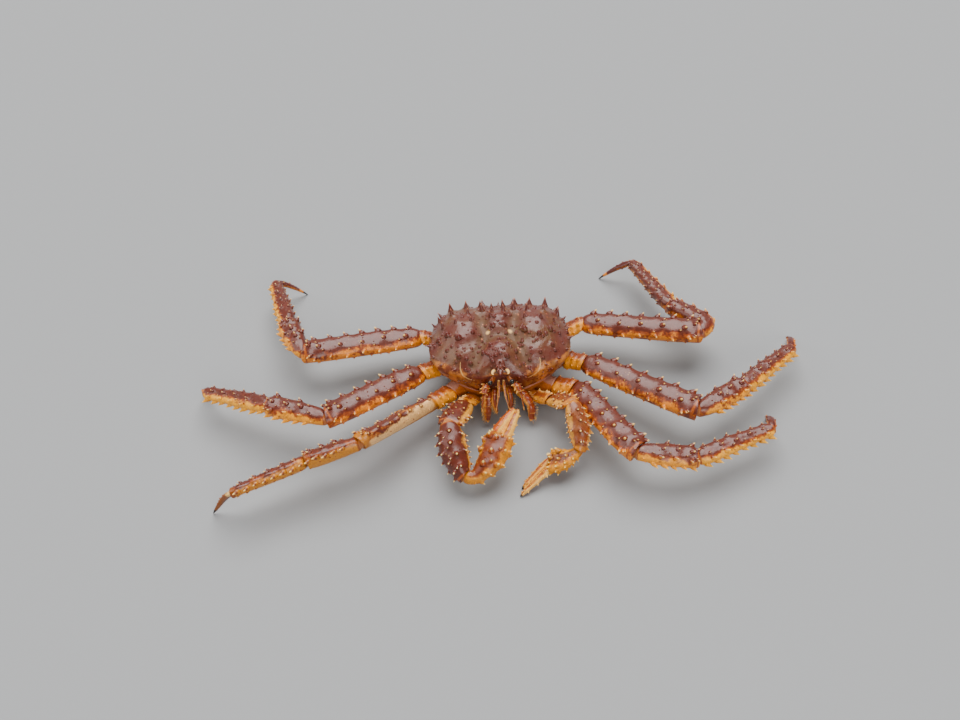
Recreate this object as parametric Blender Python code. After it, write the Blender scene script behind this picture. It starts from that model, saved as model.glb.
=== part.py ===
"""A red king crab at life size, a still model that lies on the floor with its legs spread.

The frame is +Z up. The crab faces -Y and its left side is +X. The origin is on the floor, under
the middle of the crab's bounding box. Sizes are in millimetres, and MM turns them into metres.
A leg's headings are degrees anticlockwise from +X, and its pitches are degrees above the floor.
"""

import math
from dataclasses import dataclass

import bmesh
import bpy
from mathutils import Matrix, Vector

MM = 0.001
UP = Vector((0, 0, 1))

# Where the middle of the body lies from the origin
BODY_AT = Vector((6.9, 9.0, 0.0))

# Every face that meets another node stands half of the gap back from the joint's plane
GAP = 0.34

# Body sizes
RIM_HEIGHT = 58.0
RIM_SLOPE = 0.09
BROW_RISE = 8.0
BROW_SPREAD = 24.0
RIM_DEPTH = 6.0
CROWN_HEIGHT = 88.0
DOME_FLATNESS = 3.1
SEAM_HEIGHT = 46.0
STERNUM_HEIGHT = 10.2
TAIL_THICKNESS = 9.6

# How tubes and spines are faceted
LEG_SIDES = 8
CLAW_SIDES = 8
FEELER_SIDES = 6
STATIONS = 4
SHELL_SIDES = 32
SPINE_SIDES = 4
SPINE_SINK = 2.2


def heading(azimuth, pitch=0.0):
    """The unit vector with this heading and this pitch, both in degrees."""
    a, p = math.radians(azimuth), math.radians(pitch)
    return Vector((math.cos(a) * math.cos(p), math.sin(a) * math.cos(p), math.sin(p)))


def mix(a, b, share):
    """The value this share of the way from a to b."""
    return a + (b - a) * share


def swing(a, b, degrees):
    """The direction a turned towards b by up to this many degrees."""
    angle = a.angle(b, 0.0)
    if angle < 1e-4:
        return a.copy()
    share = min(1.0, math.radians(degrees) / angle)
    return (a * math.sin((1 - share) * angle) + b * math.sin(share * angle)).normalized()


def rounded(angle, power):
    """A point of the unit superellipse at this angle in radians. Power 2 is a circle."""
    c, s = math.cos(angle), math.sin(angle)
    return (
        math.copysign(abs(c) ** (2 / power), c),
        math.copysign(abs(s) ** (2 / power), s),
    )


def profile(table, t):
    """The (half width, half thickness) at share t of a length, from rows of (t, width, thickness)."""
    for low, high in zip(table, table[1:]):
        if t <= high[0]:
            share = (t - low[0]) / (high[0] - low[0])
            return mix(low[1], high[1], share), mix(low[2], high[2], share)
    return table[-1][1:]


@dataclass
class Tube:
    """A closed shell plate swept along a path, with a flat face at each end.

    path holds the centres, widths the rows that profile() reads, and lift the side of the plate
    that faces up. The end planes are given by their normals, so that neighbours meet flat.
    """

    path: list
    widths: list
    lift: Vector
    sides: int
    power: float = 2.3
    start_normal: Vector = None
    end_normal: Vector = None

    def __post_init__(self):
        steps = [(b - a).length for a, b in zip(self.path, self.path[1:])]
        self.length = sum(steps)
        self.shares = [sum(steps[:i]) / self.length for i in range(len(self.path))]

    def tangent(self, i):
        """The direction of the path at station i."""
        before, after = max(i - 1, 0), min(i + 1, len(self.path) - 1)
        if 0 < i < len(self.path) - 1:
            return (
                (self.path[i] - self.path[before]).normalized()
                + (self.path[after] - self.path[i]).normalized()
            ).normalized()
        return (self.path[after] - self.path[before]).normalized()

    def frame(self, t):
        """(centre, tangent, side, lift) at share t of the length."""
        last = len(self.path) - 2
        i = min(max(k for k in range(len(self.path)) if self.shares[k] <= t + 1e-9), last)
        share = (t - self.shares[i]) / (self.shares[i + 1] - self.shares[i])
        centre = self.path[i].lerp(self.path[i + 1], share)
        tangent = self.tangent(i).lerp(self.tangent(i + 1), share).normalized()
        side = tangent.cross(self.lift).normalized()
        return centre, tangent, side, side.cross(tangent)

    def surface(self, t, angle):
        """(point, outward normal, tangent) at share t and at this angle from the side, in degrees."""
        centre, tangent, side, lift = self.frame(t)
        half_width, half_thickness = profile(self.widths, t)
        x, y = rounded(math.radians(angle), self.power)
        point = centre + side * (half_width * x) + lift * (half_thickness * y)
        normal = (side * (x / half_width) + lift * (y / half_thickness)).normalized()
        return point, normal, tangent

    def ring(self, i):
        """The points of the ring at station i."""
        tangent = self.tangent(i)
        side = tangent.cross(self.lift).normalized()
        lift = side.cross(tangent)
        half_width, half_thickness = profile(self.widths, self.shares[i])
        plane = {0: self.start_normal, len(self.path) - 1: self.end_normal}.get(i)
        points = []
        for k in range(self.sides):
            x, y = rounded(2 * math.pi * (k + 0.5) / self.sides, self.power)
            point = self.path[i] + side * (half_width * x) + lift * (half_thickness * y)
            if plane is not None:
                point -= tangent * ((point - self.path[i]).dot(plane) / tangent.dot(plane))
            points.append(point)
        return points

    def mesh(self):
        """The closed mesh of the swept plate, as a bmesh in metres."""
        bm = bmesh.new()
        rings = [
            [bm.verts.new(p * MM) for p in self.ring(i)] for i in range(len(self.path))
        ]
        skin(bm, rings)
        return bm


def skin(bm, rings):
    """Joins rings of equal count into a closed surface with flat ends."""
    count = len(rings[0])
    for low, high in zip(rings, rings[1:]):
        for k in range(count):
            n = (k + 1) % count
            bm.faces.new((low[k], low[n], high[n], high[k]))
    bm.faces.new(rings[0])
    bm.faces.new(rings[-1])
    bmesh.ops.recalc_face_normals(bm, faces=bm.faces)


def bent_path(start, start_way, end, radius, neck, tail, bow):
    """A path that leaves start along start_way, turns on an arc and runs straight to end.

    neck and tail are the lengths at its ends that no station may stand on. bow is the vector
    that the middle of the straight run is pushed out by.
    """
    way = (end - start).normalized()
    for _ in range(8):
        turn = start_way.angle(way, 0.0)
        corner = start + start_way * (neck + radius * math.tan(turn / 2))
        way = (end - corner).normalized()
    turn = start_way.angle(way, 0.0)
    arc_start = start + start_way * neck
    points = [start.copy()]
    steps = 1 + int(turn / math.radians(26))
    if turn > math.radians(4):
        inward = (way - start_way * way.dot(start_way)).normalized()
        for k in range(steps + 1):
            a = turn * k / steps
            points.append(
                arc_start
                + start_way * (radius * math.sin(a))
                + inward * (radius * (1 - math.cos(a)))
            )
    else:
        points.append(arc_start)
    last = points[-1].copy()
    straight = end - last
    reach = max(0.3, 1 - tail / straight.length)
    for k in range(1, STATIONS + 1):
        share = reach * k / STATIONS
        points.append(last + straight * share + bow * math.sin(math.pi * share))
    points.append(end.copy())
    return points


@dataclass
class Spine:
    """A thorn on a plate: its root point, its way, its base radius and its height."""

    root: Vector
    way: Vector
    normal: Vector
    radius: float
    height: float

    def mesh(self):
        """The thorn as a closed pyramid whose base is sunk under the plate."""
        bm = bmesh.new()
        base = self.root - self.normal * SPINE_SINK
        side = self.way.orthogonal().normalized()
        across = self.way.cross(side)
        ring = []
        for k in range(SPINE_SIDES):
            a = 2 * math.pi * k / SPINE_SIDES
            ring.append(
                bm.verts.new((base + (side * math.cos(a) + across * math.sin(a)) * self.radius) * MM)
            )
        tip = bm.verts.new((self.root + self.way * self.height) * MM)
        for k in range(SPINE_SIDES):
            bm.faces.new((ring[k], ring[(k + 1) % SPINE_SIDES], tip))
        bm.faces.new(ring)
        bmesh.ops.recalc_face_normals(bm, faces=bm.faces)
        return bm


def row(tube, first, last, count, angle, height, lean=0.45, radius=None, wave=5.0):
    """Thorns along a tube, from share first to share last, at this angle round it."""
    thorns = []
    for k in range(count):
        t = mix(first, last, k / max(1, count - 1))
        swerve = wave * math.sin(2.37 * k + angle)
        size = height * (1.0 + 0.14 * math.sin(5.1 * k + 0.7 * angle))
        point, normal, tangent = tube.surface(t, angle + swerve)
        way = (normal + tangent * lean).normalized()
        thorns.append(Spine(point, way, normal, radius or 0.52 * height, size))
    return thorns


def add_object(name, bm):
    """A mesh object in the scene, made from a bmesh."""
    mesh = bpy.data.meshes.new(name)
    bm.to_mesh(mesh)
    bm.free()
    obj = bpy.data.objects.new(name, mesh)
    bpy.context.scene.collection.objects.link(obj)
    return obj


def keep_largest(obj):
    """Removes every closed surface of the mesh but the one with the most reach."""
    bm = bmesh.new()
    bm.from_mesh(obj.data)
    left = set(bm.verts)
    islands = []
    while left:
        queue = [left.pop()]
        island = set(queue)
        while queue:
            for edge in queue.pop().link_edges:
                for vert in edge.verts:
                    if vert in left:
                        left.discard(vert)
                        island.add(vert)
                        queue.append(vert)
        islands.append(island)
    islands.sort(key=len)
    bmesh.ops.delete(bm, geom=[v for island in islands[:-1] for v in island], context="VERTS")
    bm.to_mesh(obj.data)
    bm.free()


def is_closed(mesh):
    """Whether every edge of the mesh has two faces."""
    bm = bmesh.new()
    bm.from_mesh(mesh)
    bmesh.ops.triangulate(bm, faces=bm.faces)
    closed = all(edge.is_manifold for edge in bm.edges)
    bm.free()
    return closed


def fuse(obj, pieces):
    """Joins closed pieces, given as bmeshes, to the object with one Boolean union."""
    if not pieces:
        return
    helpers = bpy.data.collections.new(obj.name + "_pieces")
    for k, bm in enumerate(pieces):
        mesh = bpy.data.meshes.new(f"{obj.name}_piece_{k}")
        bm.to_mesh(mesh)
        bm.free()
        helpers.objects.link(bpy.data.objects.new(mesh.name, mesh))
    bpy.context.scene.collection.children.link(helpers)
    base = obj.data.copy()
    for solver in ("MANIFOLD", "EXACT"):
        obj.data = base.copy()
        union = obj.modifiers.new("union", "BOOLEAN")
        union.operation = "UNION"
        union.operand_type = "COLLECTION"
        union.collection = helpers
        union.solver = solver
        bpy.context.view_layer.objects.active = obj
        bpy.ops.object.modifier_apply(modifier=union.name)
        keep_largest(obj)
        if is_closed(obj.data):
            break
    for helper in list(helpers.objects):
        bpy.data.objects.remove(helper)
    bpy.data.collections.remove(helpers)


def level_off(obj):
    """Cuts the object flat at the floor, where it reaches below it."""
    bm = bmesh.new()
    bm.from_mesh(obj.data)
    if min(v.co.z for v in bm.verts) < 0:
        cut = bmesh.ops.bisect_plane(
            bm,
            geom=bm.verts[:] + bm.edges[:] + bm.faces[:],
            plane_co=(0, 0, 0),
            plane_no=(0, 0, -1),
            clear_outer=True,
        )
        rim = [e for e in cut["geom_cut"] if isinstance(e, bmesh.types.BMEdge)]
        bmesh.ops.contextual_create(bm, geom=rim)
        bmesh.ops.recalc_face_normals(bm, faces=bm.faces)
    bm.to_mesh(obj.data)
    bm.free()


@dataclass(frozen=True)
class Finish:
    """The colour and the roughness of one kind of surface. None of them is metal."""

    colour: tuple
    roughness: float

    def material(self, name):
        """A Principled material of this finish."""
        material = bpy.data.materials.new(name)
        material.use_nodes = True
        shader = material.node_tree.nodes["Principled BSDF"]
        shader.inputs["Base Color"].default_value = (*self.colour, 1)
        shader.inputs["Roughness"].default_value = self.roughness
        shader.inputs["Metallic"].default_value = 0.0
        return material


SHELL = Finish((0.17, 0.035, 0.02), 0.32)
JOINT = Finish((0.62, 0.26, 0.04), 0.38)
BELLY = Finish((0.55, 0.33, 0.14), 0.42)
FEELERS = Finish((0.36, 0.05, 0.02), 0.35)
HORN = Finish((0.42, 0.13, 0.03), 0.3)
CORNEA = Finish((0.012, 0.009, 0.008), 0.12)


def finish_node(name, base, pieces, finish, floor=False):
    """A node made of a base mesh and the pieces fused to it, in a material of its own."""
    obj = add_object(name, base)
    fuse(obj, pieces)
    if floor:
        level_off(obj)
    obj.data.materials.clear()
    obj.data.materials.append(finish.material(name))
    for polygon in obj.data.polygons:
        polygon.use_smooth = True
        polygon.material_index = 0
    obj.data.set_sharp_from_angle(angle=math.radians(28))
    return obj


@dataclass
class Limb:
    """A walking leg, given by its first joints and by the lengths and headings after them.

    socket, root and knee are the ends of the hip and of the merus. carpus and propodus are
    (length, heading, pitch), and dactylus is (length, heading): its tip lies on the floor.
    curl is -1 where the outer edge is to the right of the leg's run and 1 where it is to the
    left. roll turns the plates' upper side towards the rear.
    """

    name: str
    socket: tuple
    root: tuple
    knee: tuple
    carpus: tuple
    propodus: tuple
    dactylus: tuple
    curl: int
    roll: float = 0.0


HIP_WIDTHS = [(0, 12, 11.5), (0.3, 13.5, 12), (0.55, 12, 11), (0.85, 13.5, 12.5), (1, 12, 11.5)]
MERUS_WIDTHS = [
    (0, 11.5, 11),
    (0.08, 15, 14),
    (0.3, 16.8, 15),
    (0.7, 17.6, 15.6),
    (0.93, 17.6, 15.6),
    (1, 14.5, 13),
]
CARPUS_WIDTHS = [(0, 11, 10), (0.3, 12.5, 11.5), (0.7, 14, 12.5), (0.92, 13.5, 12), (1, 11.5, 10.5)]
PROPODUS_WIDTHS = [
    (0, 9.5, 9),
    (0.1, 11.5, 10.5),
    (0.45, 11, 9.8),
    (0.8, 8.8, 8),
    (0.95, 8.8, 8),
    (1, 7.2, 6.8),
]
DACTYLUS_WIDTHS = [(0, 5.5, 5.2), (0.12, 6.2, 5.8), (0.5, 4.8, 4.4), (0.85, 2.6, 2.4), (1, 1.1, 1.1)]

# Height of the tips' centres, low enough for the floor to cut a small flat
TIP_HEIGHT = 0.5

LEGS = [
    Limb(
        "left_rear_leg", (83, 46, 32), (113, 52, 43), (264, 11, 54),
        (68, 114, -7), (111, 111, -4), (61, 163), -1,
    ),
    Limb(
        "left_middle_leg", (86, -3, 32), (111, -17, 38), (239, -120, 52),
        (76, 31, -4), (106, 42, -6), (65, 76), -1,
    ),
    Limb(
        "left_front_leg", (67, -44, 28), (94, -57, 35), (158, -179, 50),
        (71, -7, -6), (106, 23, -2), (64, 79), -1,
    ),
    Limb(
        "right_rear_leg", (-82, 46, 31), (-107, 48, 40), (-262, 19, 52),
        (66, 117, 1), (106, 108, -7), (57, 26), 1,
    ),
    Limb(
        "right_middle_leg", (-85, -3, 31), (-106, -18, 38), (-221, -104, 58),
        (82, 160, -1), (106, 154, -10), (56, 115), 1,
    ),
    Limb(
        "right_front_leg", (-66, -45, 28), (-90, -70, 36), (-177, -148, 58),
        (68, -165, -7), (94, -155, -1), (60, 170), 1, 55.0,
    ),
]


def joint_points(limb):
    """The leg's joints, from the socket to the tip of the dactylus."""
    points = [Vector(limb.socket), Vector(limb.root), Vector(limb.knee)]
    for length, azimuth, pitch in (limb.carpus, limb.propodus):
        points.append(points[-1] + heading(azimuth, pitch) * length)
    length, azimuth = limb.dactylus
    fall = math.degrees(math.asin((points[-1].z - TIP_HEIGHT) / length))
    points.append(points[-1] + heading(azimuth, -fall) * length)
    return points


def segment_tubes(joints, widths, lifts, sides, mitre, bows):
    """One tube for each pair of joints, each starting part of the way round the bend.

    bows gives how far each tube's middle is pushed out, to the left of its run.
    """
    tubes = []
    way = (joints[1] - joints[0]).normalized()
    normal = way.copy()
    for i, (start, end) in enumerate(zip(joints, joints[1:])):
        half_width = widths[i][0][1]
        last_width = widths[i][-1][1]
        neck = 1.6 + half_width * math.tan(way.angle(normal, 0.0))
        chord = (joints[i + 2] - end).normalized() if i + 2 < len(joints) else None
        slant = min(math.radians(mitre), (end - start).angle(chord, 0.0) / 2) if chord else 0.0
        tail = 1.6 + last_width * math.tan(slant)
        begin = start + normal * (GAP / 2)
        bow = UP.cross(end - start).normalized() * bows[i]
        path = bent_path(begin, way, end, 1.2 * half_width, neck, tail, bow)
        final = (path[-1] - path[-2]).normalized()
        end_normal, next_way = final, final
        if chord:
            next_way = swing(final, chord, 2 * mitre)
            end_normal = (final + next_way).normalized()
            path[-1] = path[-1] - final * (GAP / 2 / final.dot(end_normal))
        tubes.append(
            Tube(path, widths[i], lifts[i], sides, 2.3, normal.copy(), end_normal.copy())
        )
        way, normal = next_way, end_normal
    return tubes


def leg_lift(limb, chord):
    """The upper side of a leg's plates, rolled about the leg's run."""
    turn = Matrix.Rotation(math.radians(limb.roll * limb.curl), 3, chord.normalized())
    return turn @ UP


def leg_spines(kind, tube, curl):
    """The thorns of one leg segment. Angle 0 is the leg's outer edge and 90 its upper side."""

    def line(first, last, count, angle, height, lean=0.45):
        turned = angle if curl < 0 else 180 - angle
        return row(tube, first, last, count, turned, height, lean)

    if kind == "merus":
        return (
            line(0.1, 0.93, 7, 12, 4.6)
            + line(0.15, 0.89, 5, 71, 4.2)
            + line(0.1, 0.92, 7, 138, 5.0)
        )
    if kind == "carpus":
        return (
            line(0.3, 0.94, 5, -6, 6.0, 0.7)
            + line(0.38, 0.88, 3, 38, 4.4, 0.7)
            + line(0.42, 0.9, 3, 88, 4.0, 0.6)
            + line(0.5, 0.9, 2, 140, 4.2)
        )
    if kind == "propodus":
        return (
            line(0.08, 0.96, 8, -14, 5.8, 0.8)
            + line(0.14, 0.9, 5, 30, 4.2, 0.8)
            + line(0.3, 0.92, 3, 84, 3.4, 0.7)
            + line(0.14, 0.95, 5, 158, 3.6)
        )
    if kind == "dactylus":
        return line(0.14, 0.36, 2, 30, 2.6, 0.8)
    return line(0.55, 0.85, 2, 60, 4.0)


def build_leg(limb):
    """The five nodes of one walking leg."""
    joints = [p + BODY_AT for p in joint_points(limb)]
    names = ("hip", "merus", "carpus", "propodus", "dactylus")
    widths = (HIP_WIDTHS, MERUS_WIDTHS, CARPUS_WIDTHS, PROPODUS_WIDTHS, DACTYLUS_WIDTHS)
    lifts = [UP] + [leg_lift(limb, b - a) for a, b in zip(joints[1:], joints[2:])]
    for kind, tube in zip(names, segment_tubes(joints, widths, lifts, LEG_SIDES, 26.0, [0.0] * 5)):
        finish = {"hip": JOINT, "dactylus": HORN}.get(kind, SHELL)
        spines = [s.mesh() for s in leg_spines(kind, tube, limb.curl)]
        finish_node(f"{limb.name}_{kind}", tube.mesh(), spines, finish, kind == "dactylus")


@dataclass
class Claw:
    """A claw leg: its joints from the socket to the palm's end, its finger tip and its sizes.

    girth scales its widths, spread is how far each finger's tip lies from the middle, and curl
    is -1 where the outer edge is to the right of its run, 1 where it is to the left.
    """

    name: str
    socket: tuple
    joints: tuple
    tip: tuple
    girth: float
    spread: float
    curl: int


CLAW_HIP_WIDTHS = [(0, 10.5, 10.5), (0.5, 12, 11), (1, 11, 10.5)]
CLAW_MERUS_WIDTHS = [(0, 10.5, 10), (0.3, 14, 13), (0.75, 16, 14.5), (1, 13.5, 12.5)]
CLAW_CARPUS_WIDTHS = [(0, 11.5, 11), (0.3, 15, 14), (0.6, 15.5, 14.5), (0.85, 12, 12.5), (1, 9.5, 10)]
PALM_WIDTHS = [(0, 8.5, 8.5), (0.22, 9, 9), (0.42, 13.5, 12), (0.65, 16.5, 13), (0.85, 16, 12), (1, 15, 10.5)]
CLAW_BOWS = (0.0, 0.0, 4.0, 4.5)
FINGER_WIDTHS = [(0, 6.2, 8.0), (0.3, 6.2, 7.5), (0.7, 5.0, 5.9), (0.92, 3.6, 4.2), (1, 2.3, 2.8)]

CLAWS = [
    Claw(
        "right_claw", (-40, -57, 25),
        ((-47, -72, 35), (-67, -121, 51), (-49, -184, 27), (-5, -137, 43)),
        (17, -100, 50), 1.1, 0.8, -1,
    ),
    Claw(
        "left_claw", (41, -58, 25),
        ((60, -74, 35), (86, -103, 57), (91, -156, 30), (53, -163, 17)),
        (17, -194, 2.2), 0.86, 3.4, 1,
    ),
]


def scaled(table, factor):
    """A table of widths with its sizes scaled."""
    return [(t, a * factor, b * factor) for t, a, b in table]


def claw_spines(kind, tube, curl, girth):
    """The thorns of one claw segment. Angle 0 is its outer edge and 90 its upper side."""

    def line(first, last, count, angle, height, lean=0.3):
        turned = angle if curl < 0 else 180 - angle
        return row(tube, first, last, count, turned, height * girth, lean)

    if kind == "merus":
        return line(0.3, 0.9, 3, 10, 5) + line(0.35, 0.9, 3, 60, 5) + line(0.5, 0.9, 2, 125, 5)
    if kind == "carpus":
        return (
            line(0.18, 0.95, 6, -5, 5.6)
            + line(0.2, 0.88, 5, 38, 5)
            + line(0.2, 0.85, 4, 85, 5)
            + line(0.25, 0.6, 2, 135, 5)
        )
    if kind == "palm":
        return (
            line(0.2, 0.9, 5, -8, 5.6)
            + line(0.3, 0.92, 4, 40, 5)
            + line(0.4, 0.9, 3, 92, 4.4)
            + line(0.65, 0.86, 2, 160, 4.6)
        )
    return line(0.5, 0.9, 2, 60, 4)


def build_claw(claw):
    """The five nodes of one claw leg."""
    joints = [Vector(p) + BODY_AT for p in (claw.socket, *claw.joints)]
    names = ("hip", "merus", "carpus", "palm")
    tables = (CLAW_HIP_WIDTHS, CLAW_MERUS_WIDTHS, CLAW_CARPUS_WIDTHS, PALM_WIDTHS)
    widths = [scaled(table, claw.girth) for table in tables]
    bows = [claw.girth * claw.curl * bow for bow in CLAW_BOWS]
    tubes = segment_tubes(joints, widths, [UP] * 4, CLAW_SIDES, 24.0, bows)
    for kind, tube in zip(names[:3], tubes):
        spines = [s.mesh() for s in claw_spines(kind, tube, claw.curl, claw.girth)]
        finish = JOINT if kind == "hip" else SHELL
        finish_node(f"{claw.name}_{kind}", tube.mesh(), spines, finish)
    palm = tubes[3]
    end, way, side, _ = palm.frame(1.0)
    tip = Vector(claw.tip) + BODY_AT
    offset = 7.6 * claw.girth
    fingers = []
    for sense, back in ((-claw.curl, 6.0), (claw.curl, -GAP)):
        start = end + side * (sense * offset) - way * back
        middle = end.lerp(tip, 0.55) + side * (sense * (offset + claw.spread * 0.4))
        finger_tip = tip + side * (sense * (2.9 * claw.girth + claw.spread))
        path = [
            (start * (1 - t) + middle * t) * (1 - t) + (middle * (1 - t) + finger_tip * t) * t
            for t in (0, 0.2, 0.4, 0.6, 0.8, 1)
        ]
        fingers.append(
            Tube(path, scaled(FINGER_WIDTHS, claw.girth), UP, 8, 2.3, way.copy(), None)
        )
    spines = [s.mesh() for s in claw_spines("palm", palm, claw.curl, claw.girth)]
    finish_node(f"{claw.name}_palm", palm.mesh(), [fingers[0].mesh(), *spines], SHELL, True)
    finish_node(f"{claw.name}_finger", fingers[1].mesh(), [], HORN, True)


# The carapace's half outline at its rim, as (x, y), from the front notch to the rear middle
RIM = [
    (0, -58), (13, -59), (29, -60), (45, -52), (62, -45), (80, -34), (91, -16),
    (94, 8), (93, 32), (87, 52), (72, 69), (42, 82), (0, 86),
]
HEART = Vector((0, 14, 0))

# The regions of the shell as (x, y, spread x, spread y, rise), mirrored where x isn't 0
REGIONS = [
    (0, -35, 17, 20, 11.0),
    (0, 24, 13, 15, 8.0),
    (50, 12, 23, 27, 8.0),
    (42, -33, 11, 10, 4.0),
    (0, 62, 36, 20, -7.0),
    (68, 38, 20, 22, 5.0),
]

# The grooves between them, as (x, y) ends, half width and depth, mirrored
GROOVES = [
    ((18, -8), (34, -42), 6.0, 8.0),
    ((18, -8), (23, 36), 6.5, 7.0),
    ((0, -3), (18, -8), 6.0, 6.0),
    ((18, -8), (42, -17), 6.0, 4.0),
]


def spline(points, closed, per_span):
    """A smooth curve through 2-D points, with this many steps for each span."""
    out = []
    count = len(points)
    spans = count if closed else count - 1
    for i in range(spans):
        at = [points[j % count] if closed else points[min(max(j, 0), count - 1)]
              for j in (i - 1, i, i + 1, i + 2)]
        for k in range(per_span):
            t = k / per_span
            out.append(tuple(
                0.5 * (2 * b + (c - a) * t + (2 * a - 5 * b + 4 * c - d) * t * t
                       + (3 * b - a - 3 * c + d) * t ** 3)
                for a, b, c, d in zip(*at)
            ))
    return out


def full_outline(half, count):
    """A closed, symmetric outline with evenly spaced points, from its half."""
    mirrored = [(-x, y) for x, y in reversed(half[1:-1])]
    fine = spline(half + mirrored, True, 12)
    fine.append(fine[0])
    steps = [math.dist(a, b) for a, b in zip(fine, fine[1:])]
    total = sum(steps)
    out, walked, i = [], 0.0, 0
    for k in range(count):
        target = total * k / count
        while walked + steps[i] < target:
            walked += steps[i]
            i += 1
        share = (target - walked) / steps[i]
        out.append(Vector((mix(fine[i][0], fine[i + 1][0], share),
                           mix(fine[i][1], fine[i + 1][1], share), 0)))
    return out


def near_segment(x, y, a, b):
    """The distance from (x, y) to the segment between two 2-D points."""
    ax, ay, bx, by = *a, *b
    share = ((x - ax) * (bx - ax) + (y - ay) * (by - ay)) / ((bx - ax) ** 2 + (by - ay) ** 2)
    share = min(1.0, max(0.0, share))
    return math.hypot(x - mix(ax, bx, share), y - mix(ay, by, share))


def shell_rise(x, y):
    """How far the regions lift the shell and the grooves lower it at (x, y)."""
    rise = 0.0
    for cx, cy, sx, sy, height in REGIONS:
        for centre in {cx, -cx}:
            rise += height * math.exp(-(((x - centre) / sx) ** 2) - ((y - cy) / sy) ** 2)
    for a, b, width, depth in GROOVES:
        rise -= depth * math.exp(-((near_segment(abs(x), y, a, b) / width) ** 2))
    return rise


def rim_height(p):
    """The height of the rim at its point p: it falls towards the rear and rises over the eyes."""
    brow = math.exp(-((p.x / BROW_SPREAD) ** 2)) if p.y < HEART.y else 0.0
    return RIM_HEIGHT - RIM_SLOPE * p.y + BROW_RISE * brow


def shell_height(rim_point, p, reach):
    """The height of the shell's upper side at p, at this share of the way to rim_point."""
    dome = (1 - reach ** DOME_FLATNESS) ** 0.8
    fade = min(1.0, (1 - reach) / 0.12)
    return mix(rim_height(rim_point), CROWN_HEIGHT, dome) + shell_rise(p.x, p.y) * fade


def shell_point(rim_point, reach):
    """The point of the shell's upper side at this share of the way from its middle to its rim."""
    p = HEART.lerp(rim_point, reach)
    return Vector((p.x, p.y, shell_height(rim_point, p, reach)))


def shell_at(x, y):
    """(point, normal) of the shell's upper side over (x, y)."""
    fine = full_outline(RIM, 180)
    flat = Vector((x, y, 0)) - HEART
    angle = math.atan2(flat.y, flat.x)

    def turn(q):
        away = abs(math.atan2((q - HEART).y, (q - HEART).x) - angle)
        return min(away, 2 * math.pi - away)

    rim_point = min(fine, key=turn)
    span = (rim_point - HEART).length

    def at(dx, dy):
        p = Vector((x + dx, y + dy, 0))
        return shell_height(rim_point, p, min(0.999, (p - HEART).length / span))

    z = at(0, 0)
    normal = Vector((at(-1, 0) - at(1, 0), at(0, -1) - at(0, 1), 2)).normalized()
    return Vector((x, y, z)), normal


SHELL_REACHES = (0.16, 0.32, 0.46, 0.6, 0.72, 0.83, 0.92, 0.98, 1.0)


def shell_mesh():
    """The carapace: a domed shield with a rolled rim and a flat underside."""
    rim = full_outline(RIM, SHELL_SIDES)
    bm = bmesh.new()
    rings = [[shell_point(q, reach) for q in rim] for reach in reversed(SHELL_REACHES)]
    under = [
        [HEART.lerp(q, 0.985) + UP * max(rim_height(q) - RIM_DEPTH, SEAM_HEIGHT + 3) for q in rim],
        [HEART.lerp(q, 0.95) + UP * (SEAM_HEIGHT + GAP / 2) for q in rim],
    ]
    rings = [[bm.verts.new((p + BODY_AT) * MM) for p in ring]
             for ring in (under[1], under[0], *rings)]
    count = len(rim)
    for low, high in zip(rings, rings[1:]):
        for k in range(count):
            n = (k + 1) % count
            bm.faces.new((low[k], low[n], high[n], high[k]))
    bm.faces.new(rings[0])
    top = bm.verts.new((shell_point(HEART, 0) + BODY_AT) * MM)
    for k in range(count):
        bm.faces.new((rings[-1][k], rings[-1][(k + 1) % count], top))
    bmesh.ops.recalc_face_normals(bm, faces=bm.faces)
    return bm


# Thorns of the shell's upper side as (x, y, height), mirrored where x isn't 0
SHELL_THORNS = [
    (0, -51, 4.5), (9, -43, 5.0), (10, -27, 5.0), (0, -19, 4.5), (20, -33, 4.0),
    (7, 11, 5.5), (8, 25, 6.5), (7, 37, 7.0), (21, 46, 8.0), (8, 54, 9.0),
    (34, 0, 5.5), (52, -6, 5.5), (66, 4, 5.5), (36, 20, 6.0), (55, 18, 7.0), (72, 22, 6.5),
    (40, 38, 7.5), (60, 38, 7.5), (24, 64, 10.0), (43, 57, 10.0), (62, 55, 9.0),
    (38, -40, 4.5), (52, -31, 4.5), (68, -18, 5.0), (78, 4, 5.0), (77, 40, 8.0),
]
RIM_THORN_COUNT = 26
RIM_THORN_REACH = 0.955


def shell_thorns():
    """The thorns of the shell's upper side and of its rim."""
    thorns = []
    for x, y, height in SHELL_THORNS:
        for sense in sorted({-1, 1} if x else {1}):
            point, normal = shell_at(sense * x, y)
            way = (normal + Vector((0, 0.12, 0))).normalized()
            thorns.append(Spine(point + BODY_AT, way, normal, 0.55 * height, height))
    for k, q in enumerate(full_outline(RIM, RIM_THORN_COUNT)):
        outward = (q - HEART).normalized()
        if outward.y < -0.93:
            continue
        to_rear = 0.5 + 0.5 * outward.y
        height = mix(5.5, 10.0, to_rear) * (1 + 0.15 * math.sin(2.3 * k))
        point = shell_point(q, RIM_THORN_REACH)
        way = (outward + UP * mix(0.15, 0.75, to_rear)).normalized()
        thorns.append(Spine(point + BODY_AT, way, outward, 0.45 * height, height))
    return thorns


ROSTRUM = [(0, -44, 80), (0, -54, 79), (0, -61, 78), (0, -68, 79.5)]
ROSTRUM_WIDTHS = [(0, 9, 8), (0.45, 6, 5.5), (0.75, 3.6, 3.4), (1, 1.2, 1.2)]


def straight_tube(points, widths, sides, lift=UP, power=2.2):
    """A tube through points of the body's frame."""
    return Tube([Vector(p) + BODY_AT for p in points], widths, lift, sides, power)


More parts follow.
